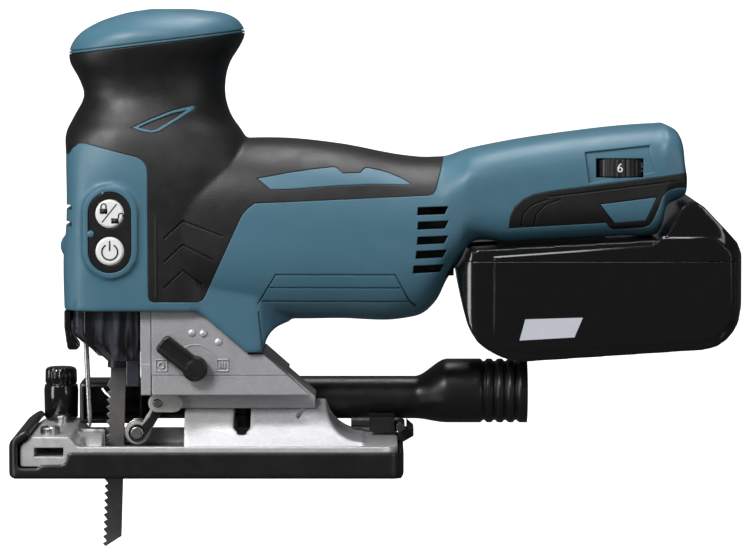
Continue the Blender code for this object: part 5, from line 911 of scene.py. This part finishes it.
# ================================================================ dust nozzle
# A black pipe beside the saddle: a scoop behind the blade, a straight run, and a wider outlet with
# four grooves for a hose. It slides off rearwards.
def add_nozzle():
    y, z, count = 0.0296, 0.0262, 72

    def tube(inset, start, end):
        rings = []
        for x in np.linspace(start, end, 220):
            grow = float(np.clip((x - 0.0850) / 0.0140, 0, 1))
            grow = grow * grow * (3 - 2 * grow)
            dip = max(0.0, *(1 - ((x - (0.1277 - 0.0045 * k)) / 0.0012) ** 2 for k in range(4)))
            radius = 0.0090 + 0.0045 * grow - inset - (0.0011 * dip if not inset else 0)
            turns = [2 * math.pi * k / count for k in range(count)]
            rings.append([(x, y + radius * math.cos(t), z + 0.0028 * grow + radius * math.sin(t)) for t in turns])
        return loft(rings)

    scoop = melted(block((-0.0550, 0.0127, 0.0168), (-0.0279, 0.0376, 0.0340)), 0.0009, 4)
    hook = block((0.0300, 0.0270, 0.0156), (0.0420, 0.0322, 0.0186))
    nozzle = join(tube(0, -0.0300, 0.1324), scoop, hook)
    gap = prism(ribbon([(-0.0472, 0.0292), (-0.0458, 0.0272), (-0.0438, 0.0256), (-0.0424, 0.0250)], 0.0010), 0.03, 0.05)
    nozzle = cut(nozzle, block((-0.0532, 0.0100, 0.0186), (-0.0297, 0.0358, 0.0322)), tube(0.0018, -0.0340, 0.1400), gap)
    piece("dust_pipe", nozzle, SATIN, "nozzle", "dust_nozzle")


add_nozzle()


# ================================================================ fittings under the nose
# A smoked chip cover hangs round the blade, with a bent steel guard rod in front of it and the
# black tab of the blade release lever before both.
def add_chip_cover():
    profile = [(0.0715, -0.0555), (0.0576, -0.0555), (0.0560, -0.0546), (0.0536, -0.0518), (0.0510, -0.0484)]
    profile += [(0.0468, -0.0442), (0.0463, -0.0437)]
    facets = [(0.0, 1.0), (0.40, 1.0), (0.634, 0.99), (0.80, 0.94), (0.91, 0.84), (0.97, 0.70), (1.0, 0.56)]

    def skin(inset, extra):
        rings = []
        for z, front in profile:
            half = 0.0232 - 0.25 * (0.0536 - min(z, 0.0536)) - inset
            rear, reach = -0.0282 + extra, front + inset
            plan = [(rear + (reach - rear) * a, half * b) for a, b in facets]
            plan += [(a, -b) for a, b in plan[::-1]]
            rings.append([(a, b, z) for a, b in plan])
        top, foot = [(a, b, z + extra) for a, b, z in rings[0]], [(a, b, z - extra) for a, b, z in rings[-1]]
        return loft([top, *rings, foot] if extra else rings)

    rod_room = block((-0.0531, -0.0096, 0.0400), (-0.0300, 0.0096, 0.0610))
    yoke_room = block((-0.0450, -0.0197, 0.0400), (-0.0270, 0.0197, 0.0545))
    cover = cut(skin(0, 0), skin(0.0016, 0.004), rod_room, yoke_room)
    piece("chip_guard", cover, SMOKED, "guard", "chip_cover", sharp=12)


def add_release_lever():
    plan = [(-0.0590, -0.0150), (-0.0564, -0.0150), (-0.0564, 0.0244), (-0.0500, 0.0244), (-0.0494, 0.0308)]
    plan += [(-0.0560, 0.0308), (-0.0582, 0.0300), (-0.0590, 0.0280)]
    lever = prism(plan, 0.0592, 0.0666, "Z")
    tab = [(-0.0590, 0.0640), (-0.0588, 0.0580), (-0.0578, 0.0512), (-0.0570, 0.0503), (-0.0538, 0.0503), (-0.0530, 0.0512)]
    tab += [(-0.0532, 0.0526), (-0.0549, 0.0552), (-0.0560, 0.0572), (-0.0562, 0.0605), (-0.0562, 0.0640)]
    lever = melted(join(lever, prism(tab, -0.0148, -0.0040)), 0.0006, 3)
    piece("release_tab", lever, GLOSS, "release_lever", "blade_release_lever")


def add_guide_wall():
    """A grey wall behind the blade keeps chips off the gear case."""
    wall = melted(block((-0.0354, 0.0092, 0.0326), (-0.0294, 0.0118, 0.0475)), 0.0006, 2)
    piece("chip_wall", wall, SMOKED_WALL, "tool_body")


def add_support_arm():
    """The arm's black fork has a plated cheek behind it, which shows round the roller."""
    pivot, wheel = (-0.0209, 0.0283), (-0.0298, 0.0151)
    hub = turned(rod(-0.0116, 0.0116, 0.0041), "Y", (pivot[0], 0, pivot[1]))
    roller_room = turned(rod(-0.0038, 0.0038, 0.0062), "Y", (wheel[0], 0, wheel[1]))
    holes = [
        turned(rod(-0.05, 0.05, 0.0019), "Y", (pivot[0], 0, pivot[1])),
        turned(rod(-0.05, 0.05, 0.0031), "Y", (wheel[0], 0, wheel[1])),
    ]
    plate = [*arc(wheel, 0.0047, 60, 315, 18), *arc(pivot, 0.0036, -50, 100, 8)]
    plate += [(-0.0240, 0.0256), (-0.0254, 0.0228), (-0.0270, 0.0204)]
    body = [*arc(wheel, 0.0036, 55, 320, 18), *arc(pivot, 0.0040, -60, 90, 8)]
    body += [(-0.0232, 0.0250), (-0.0246, 0.0218), (-0.0270, 0.0190)]
    fork = hub
    for side, word in ((-1, "left"), (1, "right")):
        cheek = prism(plate, *sorted((side * 0.0039, side * 0.0056)))
        piece(f"arm_cheek_{word}", cut(cheek, hub, *holes), ZINC, "arm")
        fork = join(fork, prism(body, *sorted((side * 0.0057, side * 0.0064))))
        spot = [(0.0, 0.0), (0.0, 0.0027), (0.0064, 0.0027), (0.0067, 0.0024), (0.0067, 0.0)]
        pin = [(side * s, r) for s, r in spot]
        piece(f"arm_pin_{word}", turned(pin, "Y", (wheel[0], 0, wheel[1])), STEEL, "arm", "roller_pin")
    piece("arm_fork", cut(fork, roller_room, *holes), SATIN, "arm", "support_arm")


add_chip_cover()
add_release_lever()
add_guide_wall()
add_support_arm()


# ================================================================ gear housing
# The casting's left skirt hides the foot that rocks on the saddle. Square frames beside the orbit
# lever mark its two ends, and three small dimples mark the steps between.
def add_housing_details():
    skirt = prism([(-0.0240, 0.0326), (-0.0240, 0.0409), (-0.0174, 0.0409), (-0.0174, 0.0387)], -0.0226, 0.0437, "X")
    slope = prism([(-0.03, 0.03), (0.0437, 0.03), (0.0437, 0.0310), (0.0325, 0.0409), (-0.03, 0.0409)], -0.03, 0.0)
    strip = prism([(-0.0240, 0.0326), (-0.0240, 0.0456), (-0.0175, 0.0391), (-0.0175, 0.0387)], -0.0270, -0.0230, "X")
    skirt = cut(keep(skirt, slope), turned(rod(-0.03, 0.0, 0.0040), "Y", (-0.0048, 0, 0.0439)))
    piece("housing_skirt", skirt, CAST, "tool_body")
    piece("strip_skirt", strip, CAST, "tool_body")
    face = -0.0240
    marks = [ribbon(arc((0, 0), 0.0012, 0, 350, 24), 0.0006)]
    bars = [ribbon([(d, -0.0013), (d, 0.0013)], 0.0006) for d in (-0.0010, 0.0, 0.0010)]
    for (x, z), signs in (((-0.0187, 0.0449), marks), ((0.0062, 0.0449), bars)):
        half = 0.0023
        corners = [(-half, -half), (half, -half), (half, half), (-half, half), (-half, -half)]
        outlines = [ribbon(corners[k : k + 2], 0.0005) for k in range(4)] + signs
        made = [prism([(x + a, z + b) for a, b in outline], face - 0.0004, face - 0.00002) for outline in outlines]
        piece(f"orbit_mark_{'off' if signs is marks else 'full'}", gather(*made), BASE_CAST, "tool_body", sharp=20)
    # The dots take the lighter base metal as a painted highlight, standing for the shine in small cone recesses.
    for k, (x, z) in enumerate(((-0.0061, 0.0582), (-0.0015, 0.0579), (0.0047, 0.0545))):
        dome = [(face, 0.0), (face, 0.0017), (face - 0.0004, 0.0014), (face - 0.0007, 0.0007), (face - 0.0008, 0.0)]
        piece(f"orbit_dot_{k + 1}", turned(dome, "Y", (x, 0, z), 32), BASE_CAST, "tool_body")
    track = prism(ribbon(arc((-0.0048, 0.0439), 0.0094, 20, 118, 24), 0.0004), face - 0.0003, face - 0.00002)
    piece("orbit_track", track, BASE_CAST, "tool_body")


def add_orbit_lever():
    low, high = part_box("orbit_lever")
    hub, turn = (-0.0048, 0.0439), math.atan2(0.0111, -0.0141)

    def outline(inset):
        reach, half = 0.0178 - inset, 0.0040 - inset
        corner = 0.0019 - inset / 2
        side = math.degrees(math.asin(half / (0.0052 - inset)))
        around = arc((0, 0), 0.0052 - inset, side, 360 - side, 20)
        around += arc((reach - corner, -half + corner), corner, -90, 0, 6)
        around += arc((reach - corner, half - corner), corner, 0, 90, 6)
        c, s = math.cos(turn), math.sin(turn)
        return [(hub[0] + a * c - b * s, hub[1] + a * s + b * c) for a, b in around]

    arm = prism(outline(0), low.y + 0.0006, high.y - 0.0002)
    rim = prism(outline(0.0006), low.y + 0.0002, low.y + 0.0016)
    hollow = prism(outline(0.0014), low.y - 0.01, low.y + 0.0005)
    lever = cut(join(arm, rim), hollow)
    hub_disc = turned([(low.y + 0.0002, 0.0), (low.y + 0.0002, 0.0032), (low.y + 0.0020, 0.0036), (low.y + 0.0020, 0.0)], "Y", (hub[0], 0, hub[1]))
    piece("orbit_arm", melted(join(lever, hub_disc), 0.0005, 2), SATIN, "selector", "orbit_lever")


add_housing_details()
add_orbit_lever()

# ================================================================ everything else
# The remaining pieces keep their engineering shape and take the finish of their material.
FINISHES = {
    "black_plastic": SATIN,
    "cast_aluminium": CAST,
    "zinc_plate": ZINC,
    "steel": STEEL,
    "blade_steel": BLADE,
    "dark_steel": DARK,
    "bronze": BRONZE,
    "copper_winding": COPPER,
    "smoked_clear": SMOKED,
    "clear_lens": LENS,
    "circuit_board": BOARD,
    "cell_sleeve": SLEEVE,
    "battery_plastic": GLOSS,
}
for part in frame["record"]["subparts"]:
    node, slot = part["node"], part["material_slot"]
    if slot in FINISHES and node in frame["nodes"]:
        holder = frame["nodes"][node]
        finish = BASE_CAST if node == "base_plate" else FINISHES[slot]
        for material_slot in holder.material_slots:
            material_slot.material = finish.material
